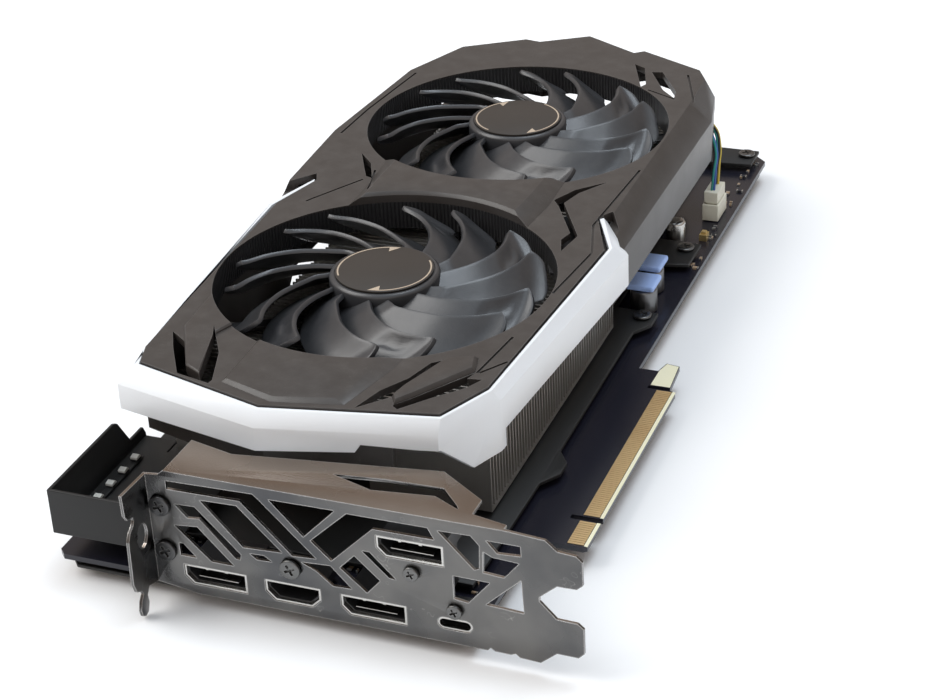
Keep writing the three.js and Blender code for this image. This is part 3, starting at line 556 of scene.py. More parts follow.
# ---- mesh work ----------------------------------------------------------------------------------
class Bench:
    """The mesh operations that every sub-assembly uses, in card millimetres."""

    def __init__(self, space: CardSpace, effects: Effects) -> None:
        """Keeps the card's coordinates and the shared effects."""
        self.space = space
        self.effects = effects

    @staticmethod
    def only(piece: Piece) -> None:
        """Makes one object the whole selection."""
        bpy.ops.object.select_all(action="DESELECT")
        piece.select_set(True)
        bpy.context.view_layer.objects.active = piece

    def prism(self, name: str, rings: list[list[Point3]]) -> Piece:
        """Makes a closed solid through rings of points, lowest ring first.

        Args:
            name: The piece's name.
            rings: Rings with equal point counts, in card millimetres.

        Returns:
            The new object.
        """
        bpy.ops.object.select_all(action="DESELECT")
        bpy.ops.mesh.primitive_circle_add(vertices=len(rings[0]), radius=MM, fill_type="NGON")
        piece = bpy.context.object
        piece.name = piece.data.name = name
        for vertex, point in zip(piece.data.vertices, rings[0]):
            vertex.co = self.space.point(*point)
        count = len(rings[0])
        bpy.ops.object.mode_set(mode="EDIT")
        bpy.ops.mesh.select_all(action="SELECT")
        for index, ring in enumerate(rings[1:], start=1):
            bpy.ops.mesh.extrude_region_move(TRANSFORM_OT_translate={"value": (0, 0, MM)})
            mesh = bmesh.from_edit_mesh(piece.data)
            mesh.verts.ensure_lookup_table()
            base = count * index
            for offset, point in enumerate(ring):
                mesh.verts[base + offset].co = self.space.point(*point)
            bmesh.update_edit_mesh(piece.data)
        bpy.ops.mesh.select_all(action="SELECT")
        bpy.ops.mesh.normals_make_consistent(inside=False)
        bpy.ops.object.mode_set(mode="OBJECT")
        return piece

    def slab(self, name: str, outline: list[Point], low: float, high: float, axis: Axis = Axis.UP) -> Piece:
        """Makes a flat plate from an outline.

        Args:
            name: The piece's name.
            outline: Corners in the plate's own two directions.
            low: Where the thickness starts.
            high: Where the thickness ends.
            axis: Which way the plate is thickened.

        Returns:
            The new object.
        """
        def place(level: float) -> list[Point3]:
            """Puts the outline at one level of the thickness."""
            if axis is Axis.UP:
                return [(u, v, level) for u, v in outline]
            return [(u, level, v) for u, v in outline]

        return self.prism(name, [place(low), place(high)])

    def drum(self, name: str, centre: Point, radius: float, low: float, high: float,
             sides: int = 64) -> Piece:
        """Makes an upright cylinder in card millimetres."""
        outline = [(centre[0] + radius * math.cos(2 * math.pi * i / sides),
                    centre[1] + radius * math.sin(2 * math.pi * i / sides)) for i in range(sides)]
        return self.slab(name, outline, low, high)

    def combine(self, piece: Piece, tool: Piece, operation: str = "DIFFERENCE") -> None:
        """Cuts or joins a tool into a piece and removes the tool.

        Args:
            piece: The object that is changed.
            tool: The object that cuts or joins it.
            operation: The Boolean modifier's operation.
        """
        self.only(piece)
        kept = piece.data.copy()
        for solver in ("EXACT", "FAST"):
            modifier = piece.modifiers.new("combine", "BOOLEAN")
            modifier.operation = operation
            modifier.solver = solver
            modifier.object = tool
            bpy.ops.object.modifier_apply(modifier=modifier.name)
            if len(piece.data.polygons) > len(kept.polygons) // 2:
                break
            LOG.info("%s: %s cut by %s was lost and is tried again", piece.name, solver, tool.name)
            piece.data = kept.copy()
        bpy.data.objects.remove(tool)

    def tidy(self, piece: Piece) -> None:
        """Merges doubles and flat neighbours and turns all faces outwards."""
        self.only(piece)
        bpy.ops.object.mode_set(mode="EDIT")
        bpy.ops.mesh.select_all(action="SELECT")
        bpy.ops.mesh.remove_doubles(threshold=0.00001)
        bpy.ops.mesh.dissolve_limited(angle_limit=math.radians(0.6))
        bpy.ops.mesh.normals_make_consistent(inside=False)
        bpy.ops.object.mode_set(mode="OBJECT")

    def bevel(self, piece: Piece, width: float, segments: int = 2, angle: float = 28.0) -> None:
        """Rounds a piece's sharp edges.

        Args:
            piece: The object.
            width: Bevel width in millimetres.
            segments: Rounding segments.
            angle: Edges sharper than this many degrees are rounded.
        """
        self.only(piece)
        modifier = piece.modifiers.new("round", "BEVEL")
        modifier.width = width * MM
        modifier.segments = segments
        modifier.limit_method = "ANGLE"
        modifier.angle_limit = math.radians(angle)
        modifier.harden_normals = False
        bpy.ops.object.modifier_apply(modifier=modifier.name)

    def smooth(self, piece: Piece, angle: float = 35.0) -> None:
        """Shades a piece smooth except across sharp edges."""
        self.only(piece)
        bpy.ops.object.shade_smooth_by_angle(angle=math.radians(angle))

    def join(self, name: str, pieces: list[Piece]) -> Piece:
        """Joins objects into one piece with a name."""
        bpy.ops.object.select_all(action="DESELECT")
        for piece in pieces:
            piece.select_set(True)
        bpy.context.view_layer.objects.active = pieces[0]
        bpy.ops.object.join()
        whole = bpy.context.object
        whole.name = whole.data.name = name
        return whole

    def node_copy(self, node: str, name: str, width: float, segments: int = 2) -> Piece:
        """Copies a CAD node into a new piece with rounded edges.

        Args:
            node: The CAD node's name.
            name: The new piece's name.
            width: Bevel width in millimetres.
            segments: Rounding segments.

        Returns:
            The new object.
        """
        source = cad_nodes()[node]
        piece = bpy.data.objects.new(name, source.data.copy())
        piece.data.name = name
        bpy.context.scene.collection.objects.link(piece)
        piece.data.materials.clear()
        self.tidy(piece)
        if width:
            self.bevel(piece, width, segments)
        self.smooth(piece, 22)
        return piece

    def dress(self, piece: Piece, finish: Finish, body: Body = Body.CARD,
              replaced: tuple[str, ...] = ()) -> None:
        """Gives a piece its finish and its body, and hides the nodes it stands for.

        Args:
            piece: The finished object.
            finish: Its finish.
            body: The body it rides on.
            replaced: CAD nodes that it replaces.
        """
        piece.data.materials.clear()
        piece.data.materials.append(finish.material(self.effects))
        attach(piece, body.value)
        if replaced:
            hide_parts(*replaced)
        LOG.info("%s: %d faces, %s", piece.name, len(piece.data.polygons), finish.name)

    def keep(self, node: str, finish: Finish) -> None:
        """Leaves a CAD node showing with a finish of its own."""
        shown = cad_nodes()[node]
        shown.data.materials.clear()
        shown.data.materials.append(finish.material(self.effects))


_FRAME: dict = {}


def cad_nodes() -> dict:
    """Returns the loaded CAD nodes by name."""
    return _FRAME["nodes"]


def groove(points: list[Point], width: float) -> list[Point]:
    """Outlines a narrow groove along a line.

    Args:
        points: The line's points.
        width: The groove's width.

    Returns:
        The groove's outline.
    """
    left, right = [], []
    for i, here in enumerate(points):
        before, after = points[max(i - 1, 0)], points[min(i + 1, len(points) - 1)]
        along = Vector((after[0] - before[0], after[1] - before[1])).normalized()
        side = Vector((-along.y, along.x)) * width / 2
        left.append((here[0] + side.x, here[1] + side.y))
        right.append((here[0] - side.x, here[1] - side.y))
    return left + right[::-1]


def inset(outline: list[Point], distance: float) -> list[Point]:
    """Moves a counter-clockwise outline inwards.

    Args:
        outline: The corners.
        distance: How far in.

    Returns:
        The new corners.
    """
    moved = []
    for i, here in enumerate(outline):
        before, after = outline[i - 1], outline[(i + 1) % len(outline)]
        a = Vector((here[0] - before[0], here[1] - before[1])).normalized()
        b = Vector((after[0] - here[0], after[1] - here[1])).normalized()
        inward = Vector((-a.y - b.y, a.x + b.x)).normalized()
        reach = distance / max(0.5, inward.dot(Vector((-a.y, a.x))))
        moved.append((here[0] + inward.x * reach, here[1] + inward.y * reach))
    return moved


def raised(outline: list[Point], height: float) -> list[Point3]:
    """Puts a flat outline at one height."""
    return [(x, y, height) for x, y in outline]


# ---- shroud ---------------------------------------------------------------------------------------
FAN_X = 27.1
FAN_Y = {Body.FRONT_FAN: 100.3, Body.REAR_FAN: 214.2}


@dataclass
class Shroud:
    """The fan shroud: walls, openings, slots, raised panels and grooves."""

    top: float = 47.0
    skin: float = 2.2
    low: float = 16.0
    side_low: float = 26.0
    crease: float = 40.0
    opening: float = 50.0
    open_below: float = 36.0
    windows: tuple = ((3, 12, 275, 300, 33, 37.5), (31, 39, 275, 300, 32, 37), (-28, -18, 262, 280, 28, 32.5))
    wall: list[Point] = field(default_factory=lambda: [
        (-17.6, 34.7), (23.6, 23.1), (70.9, 32.2), (78.1, 48.6), (83.6, 137), (84.5, 148), (84.5, 247),
        (80, 268),
        (74.5, 275.5), (50, 288.2), (46, 285.6), (26, 297), (10, 287.4), (4, 288.6), (-16.5, 276), (-27, 250),
        (-31, 195), (-31, 152), (-25.6, 136), (-22.2, 69), (-20.2, 42.6)])
    edge: list[Point] = field(default_factory=lambda: [
        (-17.6, 34.7), (23.6, 23.1), (70.9, 32.2), (78.1, 48.6), (83.4, 137), (78.5, 150), (77.5, 244),
        (76.8, 266.5), (72.9, 273.8), (49.2, 286.3), (46, 283.8), (25.8, 295.5), (10, 285.9), (4.3, 287),
        (-15.5, 274.5), (-25.5, 248.9), (-30, 193.3), (-28, 153.5), (-24.6, 136), (-21.6, 69), (-20.2, 42.6)])
    slots: list[list[Point]] = field(default_factory=lambda: [
        [(-17.0, 52.6), (-12.6, 44.4), (-4.9, 31.9), (5.7, 29.4), (6.0, 31.2), (0.9, 45.5), (-6.6, 57.6),
         (-4.4, 52.5), (1.6, 32.4), (-4.1, 35.6), (-11.2, 48.4)],
        [(58.0, 161.2), (61.9, 169.8), (70.0, 178.0), (63.8, 168.0), (61.6, 160.0), (72.8, 139.5),
         (71.2, 128.8), (68.8, 136.0), (70.0, 140.8), (60.9, 157.2)],
        [(48.5, 28.6), (51.5, 38.9), (56.4, 47.1), (59.0, 56.2), (61.8, 58.7), (56.6, 41.7), (55.6, 36.5)],
        [(59.5, 31.2), (65.9, 39.0), (72.8, 46.5), (75.4, 51.7), (71.4, 51.2), (72.4, 54.7), (61.2, 37.4),
         (57.6, 32.6)],
        [(49.5, 273.8), (53.9, 271.1), (58.5, 257.3), (57.4, 254.6), (53.7, 263.5)],
        [(57.3, 268.2), (61.0, 268.9), (70.4, 252.9), (71.1, 247.8), (65.6, 253.6)],
        [(-13.8, 178.3), (-7.8, 171.8), (-3.0, 161.3), (-5.4, 162.2), (-9.1, 169.1)]])
    grooves: list[list[Point]] = field(default_factory=lambda: [
        [(77.0, 189.2), (75.0, 147.9), (80.3, 130.1), (77.5, 103.0)],
        [(72.8, 54.7), (75.3, 75.9)], [(73.4, 54.9), (78.6, 62.7)],
        [(70.1, 268.7), (79.2, 244.2), (79.0, 226.0)], [(-27.0, 191.5), (-26.2, 212.9), (-22.6, 247.1)],
        [(71.5, 247), (60.5, 252.6)], [(-4.4, 167.2), (0.8, 149.3)],
        [(-5.4, 159.8), (-15.0, 142.7), (-16.3, 140.1)]])

    def build(self, bench: Bench) -> None:
        """Builds and dresses the shroud and its opening linings."""
        body = self._walls(bench)
        for panel in self._panels(bench):
            bench.combine(body, panel, "UNION")
        for y in FAN_Y.values():
            bench.combine(body, bench.prism("lip", [self._ring(y, self.opening - 0.63, 48.4),
                                                    self._ring(y, self.opening + 1.6, 50.63)]))
            bench.combine(body, bench.drum("opening", (FAN_X, y), self.opening, 20, 60, 96))
        for outline in self.slots:
            bench.combine(body, bench.slab("slot", outline, 40, 60))
        for line in self.grooves:
            bench.combine(body, bench.slab("groove", groove(line, 0.8), self.top - 0.7, 60))
        cuts = [(-60, 120, 0, 60, 10, self.side_low), (-10, 120, 59, 320, 10, self.side_low),
                (58, 120, 0, 148, 20, self.open_below), (44, 120, 262, 320, 20, self.open_below)]
        for x0, x1, y0, y1, z0, z1 in cuts + list(self.windows):
            bench.combine(body, bench.slab("wall_cut", [(x0, y0), (x1, y0), (x1, y1), (x0, y1)], z0, z1))
        bench.tidy(body)
        bench.bevel(body, 0.3, 2, 20)
        bench.smooth(body, 18)
        bench.dress(body, SHROUD, Body.CARD, ("shroud",))
        self._linings(bench)
        web = bench.slab("shroud_inner_web", [(56.5, 152), (64, 136), (68, 127), (76.5, 127), (76.5, 180),
                                              (66, 180)],
                         39.5, 40.5)
        bench.bevel(web, 0.3)
        bench.dress(web, DARK)

    def _ring(self, y: float, radius: float, z: float, sides: int = 96) -> list[Point3]:
        """Returns a ring of points round one fan's axis."""
        return [(FAN_X + radius * math.cos(2 * math.pi * i / sides),
                 y + radius * math.sin(2 * math.pi * i / sides), z) for i in range(sides)]

    def _walls(self, bench: Bench) -> Piece:
        """Returns the hollow shell with seats for the trim's tips."""
        outer = bench.prism("shroud_shell", [raised(self.wall, self.low), raised(self.wall, self.crease),
                                             raised(self.edge, self.top)])
        inner = bench.prism("hollow", [raised(inset(self.wall, self.skin), self.low - 1),
                                       raised(inset(self.wall, self.skin), self.crease - 1),
                                       raised(inset(self.edge, self.skin), self.top - self.skin)])
        bench.combine(outer, inner)
        for seat in ([(83.0, 133.2), (90, 141), (77.8, 158.2), (74.6, 153.4)],
                     [(-25.6, 133), (-36, 142), (-21.6, 160), (-19.6, 155.4)]):
            bench.combine(outer, bench.slab("tip_seat", seat, 43.6, 60))
        return outer

    def _panels(self, bench: Bench) -> list:
        """Returns the raised panels, each with sloping flanks."""
        base = self.top - 0.6
        bridge_low = [(-2.0, 136), (56, 136), (57.8, 157), (57, 175), (-4, 175), (-2.4, 158)]
        bridge_top = [(2.6, 137), (50.4, 137), (51.8, 157), (52.2, 174), (1.8, 174), (1.9, 155)]
        front_low = [(8.2, 62), (8.9, 31), (25.9, 25.2), (45.4, 29.2), (50.2, 49), (51.4, 62)]
        front_top = [(9.4, 62), (10.0, 31.7), (26.0, 26.6), (42.4, 30.4), (45.2, 49), (46.4, 62)]
        left_low = [(-11.2, 48.4), (-4.1, 35.6), (1.6, 32.4), (-4.4, 54.5), (0, 66), (-12, 92), (-16.0, 80),
                    (-16.0, 72), (-14.8, 55)]
        bar_low = [(55.9, 36.5), (57.8, 33.0), (61.2, 37.7), (72.2, 55.0), (70.5, 62), (62.4, 58.7),
                   (56.9, 41.7)]
        bar_top = [(56.5, 36.4), (57.9, 34.1), (60.6, 38.0), (71.2, 55.2), (69.6, 61), (63.0, 58.2),
                   (57.5, 41.5)]
        return [
            bench.prism("bridge_panel", [raised(bridge_low, base), raised(bridge_low, self.top + 0.05),
                                         raised(bridge_top, 50.0)]),
            bench.prism("front_panel", [raised(front_low, base), raised(front_low, self.top + 0.05),
                                        raised(front_top, self.top + 0.95)]),
            bench.prism("left_panel", [raised(left_low, base), raised(left_low, self.top + 0.5),
                                       raised(inset(left_low, 0.5), self.top + 1.0)]),
            bench.prism("louver_bar", [raised(bar_low, base), raised(bar_low, self.top + 0.2),
                                       raised(bar_top, self.top + 1.3)]),
        ]

    def _linings(self, bench: Bench) -> None:
        """Builds the ribbed lining just inside each fan opening."""
        for body, y in FAN_Y.items():
            name = f"{body.value}_opening_lining"
            lining = bench.drum(name, (FAN_X, y), self.opening + 0.55, 37.6, 46.6, 128)
            bench.combine(lining, bench.drum("bore", (FAN_X, y), self.opening - 0.05, 30, 60, 128))
            bench.smooth(lining)
            centre = bench.space.point(FAN_X, y, 0)
            ribbed = RibbedFinish(f"{name}_ribs", "black_plastic", (0.014, 0.014, 0.015),
                                  (0.022, 0.022, 0.024),
                                  0.4, grain=0.5, centre=tuple(centre))
            bench.dress(lining, ribbed)


# ---- fans -------------------------------------------------------------------------------------------
@dataclass
class Fan:
    """One fan: hub, fourteen swept blades of two kinds, and the printed disc."""

    body: Body
    prefix: str
    turn: float
    hub_radius: float = 16.2
    hub_top: float = 48.6
    hub_low: float = 37.2
    tip_radius: float = 46.8
    chord: float = 15.8
    low_edge: float = 39.0
    pairs: int = 7
    wide: list[Point] = field(default_factory=lambda: [
        (15.2, -46), (18, -42), (20, -40), (23, -33), (27, -26), (30.5, -21), (35, -14), (39, -7.5),
        (42.5, -1.2),
        (46.8, 1.5)])
    folded: list[Point] = field(default_factory=lambda: [
        (15.2, -33), (18, -29.6), (21, -27), (25, -23), (30.5, -17), (35, -11.5), (39, -5.5), (43, 1),
        (46.8, 0.5)])

    @property
    def y(self) -> float:
        """Where the fan's axis stands along the card."""
        return FAN_Y[self.body]

    def build(self, bench: Bench) -> None:
        """Builds and dresses the impeller and its disc."""
        parts = [self._hub(bench)]
        for kind, edge, first in ((False, self.wide, -17.9), (True, self.folded, 1.4)):
            pattern = self._blade(bench, edge, first + self.turn, kind)
            for i in range(self.pairs):
                copy = pattern.copy()
                copy.data = pattern.data.copy()
                bpy.context.scene.collection.objects.link(copy)
                centre = bench.space.point(FAN_X, self.y, 0)
                spin = Matrix.Rotation(2 * math.pi * i / self.pairs, 4, "Z")
                copy.data.transform(Matrix.Translation(centre) @ spin @ Matrix.Translation(-centre))
                parts.append(copy)
            bpy.data.objects.remove(pattern)
        whole = bench.join(f"{self.prefix}_blades_and_hub", parts)
        bench.smooth(whole, 32)
        bench.dress(whole, BLADE, self.body, (f"{self.prefix}_impeller",))
        self._disc(bench)

    def _hub(self, bench: Bench) -> Piece:
        """Returns the hub: an open cup with a rounded rim and a shallow seat."""
        ring = lambda r, z: [(FAN_X + r * math.cos(2 * math.pi * i / 72),
                              self.y + r * math.sin(2 * math.pi * i / 72), z)
                             for i in range(72)]
        hub = bench.prism("hub", [
            ring(self.hub_radius - 0.5, self.hub_low), ring(self.hub_radius, self.hub_low + 1),
            ring(self.hub_radius, self.hub_top - 1.0), ring(self.hub_radius - 0.3, self.hub_top - 0.4),
            ring(self.hub_radius - 0.9, self.hub_top), ring(14.7, self.hub_top),
            ring(14.6, self.hub_top - 0.2)])
        bench.combine(hub, bench.drum("cup", (FAN_X, self.y), 13.6, 30, 46, 72))
        return hub

    def _blade(self, bench: Bench, edge: list[Point], tip: float, folded: bool) -> Piece:
        """Makes one blade as a curved sheet with thickness.

        Args:
            bench: The mesh operations.
            edge: Radius and lead angle of the high edge.
            tip: The tip's direction in degrees.
            folded: Whether the blade has the bent patch near its tip.

        Returns:
            The new object.
        """
        rows, columns = 30, 18
        bpy.ops.object.select_all(action="DESELECT")
        bpy.ops.mesh.primitive_grid_add(x_subdivisions=rows, y_subdivisions=columns, size=2 * MM)
        blade = bpy.context.object
        for index, vertex in enumerate(blade.data.vertices):
            row, column = index % (rows + 1), index // (rows + 1)
            along, across = row / rows, column / columns
            radius = edge[0][0] + (self.tip_radius - edge[0][0]) * along
            rounding = 3.2 * max(0.0, (0.34 - across) / 0.34) ** 2 * along ** 9
            rounding += 1.2 * max(0.0, (across - 0.8) / 0.2) ** 2 * along ** 9
            radius -= rounding
            lead = self._lead(edge, radius)
            sweep = math.radians(tip + lead) - across * self.chord / radius
            crown = 46.9 + 1.1 * (radius - self.hub_radius) / (self.tip_radius - self.hub_radius)
            fall = across + 0.10 * math.sin(math.pi * across)
            z = crown - (crown - self.low_edge) * fall * (0.94 + 0.06 * along)
            if folded:
                band = self._step(radius, 33.9, 35.0) * (1 - self._step(radius, 39.6, 41.0))
                z -= band * 1.0 * (math.sin(math.pi * across / 0.44) if across < 0.44 else 0.0)
            vertex.co = bench.space.point(FAN_X + radius * math.cos(sweep),
                                          self.y + radius * math.sin(sweep), z)
        solid = blade.modifiers.new("thick", "SOLIDIFY")
        solid.thickness = 1.4 * MM
        solid.offset = 0.0
        bench.only(blade)
        bpy.ops.object.modifier_apply(modifier=solid.name)
        bench.bevel(blade, 0.3, 2, 50)
        bpy.ops.object.mode_set(mode="EDIT")
        bpy.ops.mesh.select_all(action="SELECT")
        bpy.ops.mesh.normals_make_consistent(inside=False)
        bpy.ops.object.mode_set(mode="OBJECT")
        return blade

    @staticmethod
    def _step(value: float, start: float, end: float) -> float:
        """Returns a smooth rise from 0 to 1 between two values."""
        t = min(1.0, max(0.0, (value - start) / (end - start)))
        return t * t * (3 - 2 * t)

    @staticmethod
    def _lead(edge: list[Point], radius: float) -> float:
        """Returns the high edge's lead angle at a radius, smoothly between its points."""
        for i in range(len(edge) - 1):
            if radius <= edge[i + 1][0] or i == len(edge) - 2:
                (r0, a0), (r1, a1) = edge[i], edge[i + 1]
                before = edge[max(i - 1, 0)]
                after = edge[min(i + 2, len(edge) - 1)]
                m0 = (a1 - before[1]) / (r1 - before[0]) * (r1 - r0)
                m1 = (after[1] - a0) / (after[0] - r0) * (r1 - r0)
                t = (radius - r0) / (r1 - r0)
                return ((2 * t ** 3 - 3 * t ** 2 + 1) * a0 + (t ** 3 - 2 * t ** 2 + t) * m0
                        + (3 * t ** 2 - 2 * t ** 3) * a1 + (t ** 3 - t ** 2) * m1)
        return edge[-1][1]

    def _disc(self, bench: Bench) -> None:
        """Builds the hub's disc and the two curved bands printed on it."""
        low = self.hub_top + GAP
        disc = bench.drum("disc", (FAN_X, self.y), 14.4, low - 0.3, low + 0.3, 72)
        bench.bevel(disc, 0.18, 2)
        bench.smooth(disc)
        disc.name = disc.data.name = f"{self.prefix}_disc"
        bench.dress(disc, DISC, self.body, (f"{self.prefix}_label",))
        bands = []
        offset = 0 if self.body is Body.FRONT_FAN else 30
        for start, end, wedge in ((215, 106, 92), (37.5, -74, -88)):
            bands.append(self._band(bench, start + offset, end + offset, wedge + offset, low + 0.3))
        ring = bench.join(f"{self.prefix}_printed_ring", bands)
        bench.dress(ring, RING_PRINT, self.body)

    def _band(self, bench: Bench, start: float, end: float, wedge: float, z: float) -> Piece:
        """Returns one printed band, thin all along and widening into a wedge at its end."""
        steps = 28
        outer = [(13.8, start + (end - start) * i / steps) for i in range(steps + 1)]
        inner = [(13.35, start + (end - start) * i / steps) for i in range(steps, -1, -1)]
        point = [(13.8, wedge), (10.9, end)]
        outline = [(FAN_X + r * math.cos(math.radians(a)), self.y + r * math.sin(math.radians(a)))
                   for r, a in outer + point + inner]
        return bench.slab("band", outline, z - 0.05, z + 0.04)


# ---- trim, bracket, board and the rest -----------------------------------------------------------------
@dataclass
class Fastener:
    """A screw head with a cross recess."""

    node: str
    centre: Point3
    radius: float
    height: float
    outward: Vector
    finish: Finish

    def build(self, bench: Bench) -> None:
        """Builds the head, cuts the cross and dresses it."""
        bpy.ops.object.select_all(action="DESELECT")
        middle = bench.space.point(*self.centre)
        turn = self.outward.to_track_quat("Z", "Y").to_euler()
        bpy.ops.mesh.primitive_cylinder_add(vertices=32, radius=self.radius * MM, depth=self.height * MM,
                                            location=middle, rotation=turn)
        head = bpy.context.object
        head.name = head.data.name = f"{self.node}_head"
        bpy.ops.object.transform_apply(location=True, rotation=True, scale=True)
        bench.bevel(head, min(0.35, self.height * 0.4), 3)
        for spin in (0.5, 0.5 + math.pi / 2):
            bpy.ops.object.select_all(action="DESELECT")
            bpy.ops.mesh.primitive_cube_add(size=1, location=middle + self.outward * self.height * 0.5 * MM)
            blade = bpy.context.object
            blade.scale = (self.radius * 1.15 * MM, self.radius * 0.28 * MM, self.height * 1.1 * MM)
            blade.rotation_euler = (self.outward.to_track_quat("Z", "Y").to_matrix()
                                    @ Matrix.Rotation(spin, 3, "Z")).to_euler()
            bpy.ops.object.transform_apply(location=True, rotation=True, scale=True)
            bench.combine(head, blade)
        bench.smooth(head)
        bench.dress(head, self.finish, Body.CARD, (self.node,))


@dataclass
class Board:
    """The circuit board's contacts, cans, small parts and header."""

    contact_left: float = 99.7
    contact_right: float = 104.3
    pitch: float = 1.0
    rows: tuple = (("short", 46.5, 57.65), ("long", 60.55, 130.7))

    def build(self, bench: Bench) -> None:
        """Builds and dresses everything on the board."""
        bench.keep("circuit_board", MASK)
        self._contacts(bench)
        for node, finish, width in (
                ("gpu_chip", CHIP, 0.15), ("memory_chip_1", CHIP, 0.15), ("memory_chip_2", CHIP, 0.15),
                ("memory_chip_3", CHIP, 0.15), ("memory_chip_4", CHIP, 0.15),
                ("power_socket_eight", DARK, 0.2),
                ("power_socket_six", DARK, 0.2), ("fan_header", CREAM, 0.2), ("fan_plug", CREAM, 0.25),
                ("thermal_pad_1", PAD, 0.7), ("thermal_pad_2", PAD, 0.7), ("mid_plate", BLACK_SHEET, 0.25),
                ("capacitor", NICKEL, 0.3), ("choke_1", CAN, 0.3), ("choke_2", CAN, 0.3)):
            piece = bench.node_copy(node, f"{node}_body", width)
            bench.dress(piece, finish, Body.CARD, (node,))
        self._small_parts(bench)

    def _contacts(self, bench: Bench) -> None:
        """Builds the two rows of gold contact strips and the pale chamfer at the board's tip."""
        for label, start, end in self.rows:
            strips = []
            count = int((end - start) / self.pitch)
            for i in range(count):
                y = start + (i + 0.5) * (end - start) / count
                strip = bench.slab("strip", [(self.contact_left, y - 0.41), (self.contact_right, y - 0.41),
                                             (self.contact_right, y + 0.41), (self.contact_left, y + 0.41)],
                                   3.3, 3.46)
                strips.append(strip)
            whole = bench.join(f"edge_strips_{label}", strips)
            bench.dress(whole, GOLD, Body.CARD, (f"edge_contacts_{label}",))
            lip = bench.slab(f"edge_bevel_{label}", [(104.45, start - 0.2), (105.45, start - 0.2),
                                                     (105.45, end + 0.2), (104.45, end + 0.2)], 3.2, 3.36)
            laminate = Finish("laminate_edge", "solder_mask", (0.92, 0.87, 0.60), (0.95, 0.91, 0.68), 0.55)
            bench.dress(lip, laminate)
        hook = bench.slab("edge_hook_face", [(97.0, 133.3), (103.0, 133.3), (102.1, 146.0), (98.2, 146.7),
                                             (97.1, 142)], 3.2, 3.36)
        bench.dress(hook, laminate)

    def _small_parts(self, bench: Bench) -> None:
        """Scatters resistors and capacitors where the board shows past the cooler."""
        random.seed(7)
        groups: dict[str, list] = {"ceramic": [], "ends": [], "dark": [], "gold": []}
        spots = [(random.uniform(84.5, 89.3), random.uniform(206, 300)) for _ in range(34)]
        spots += [(random.uniform(-8, 88), random.uniform(16.5, 24)) for _ in range(46)]
        spots += [(random.uniform(72, 79), random.uniform(206, 222)) for _ in range(8)]
        for i, (x, y) in enumerate(spots):
            if 80 < x < 88.8 and 243 < y < 259:
                continue
            long, wide = random.choice(((1.6, 0.8), (1.0, 0.5), (2.0, 1.25)))
            if random.random() < 0.5:
                long, wide = wide, long
            high = 3.3 + random.uniform(0.45, 0.9)
            kind = "dark" if i % 3 == 0 else "ceramic"
            groups[kind].append(self._block(bench, x, y, long, wide, high))
            lengthwise = long > wide
            for side in (-1, 1):
                dx = side * long * 0.45 if lengthwise else 0
                dy = 0 if lengthwise else side * wide * 0.45
                groups["ends"].append(self._block(
                    bench, x + dx, y + dy, long * (0.24 if lengthwise else 1.06),
                    wide * (1.06 if lengthwise else 0.24), high + 0.03))
        groups["gold"].append(self._block(bench, 86.2, 232.4, 2.6, 3.4, 5.6))
        groups["gold"].append(self._block(bench, 86.2, 232.4, 1.6, 1.8, 6.4))
        for kind, finish in (("ceramic", CERAMIC), ("ends", SOLDER), ("dark", CHIP), ("gold", BRASS_PART)):
            whole = bench.join(f"board_small_parts_{kind}", groups[kind])
            bench.dress(whole, finish)

    @staticmethod
    def _block(bench: Bench, x: float, y: float, long: float, wide: float, high: float) -> Piece:
        """Returns one small block standing on the board, with a sloped top edge."""
        low = [(x - long / 2, y - wide / 2), (x + long / 2, y - wide / 2), (x + long / 2, y + wide / 2),
               (x - long / 2, y + wide / 2)]
        return bench.prism("block", [raised(low, 3.25), raised(low, high - 0.1),
                                     raised(inset(low, 0.08), high)])


@dataclass
class Lead:
    """A fan's flat bunch of thin wires."""

    node: str
    route: list[Point3]
    colours: tuple[tuple[str, Colour], ...]
    spread: float = 0.5
    radius: float = 0.42

    def build(self, bench: Bench) -> None:
        """Sweeps each wire along the route and dresses it."""
        for i, (label, colour) in enumerate(self.colours):
            angle = 2 * math.pi * i / len(self.colours)
            data = bpy.data.curves.new(f"{self.node}_{label}", "CURVE")
            data.dimensions = "3D"
            data.bevel_depth = self.radius * MM
            data.bevel_resolution = 3
            data.use_fill_caps = True
            line = data.splines.new("BEZIER")
            line.bezier_points.add(len(self.route) - 1)
            for j, (point, spot) in enumerate(zip(line.bezier_points, self.route)):
                twist = angle + j * 0.5
                offset = (self.spread * math.cos(twist), self.spread * math.sin(twist),
                          self.spread * math.sin(twist) * 0.6)
                point.co = bench.space.point(*(s + o for s, o in zip(spot, offset)))
                point.handle_left_type = point.handle_right_type = "AUTO"
            wire = bpy.data.objects.new(f"{self.node}_{label}", data)
            bpy.context.scene.collection.objects.link(wire)
            bench.only(wire)
            bpy.ops.object.convert(target="MESH")
            wire = bpy.context.object
            bench.smooth(wire, 60)
            bench.dress(wire, wire_finish(label, colour), Body.CARD, (self.node,) if i == 0 else ())


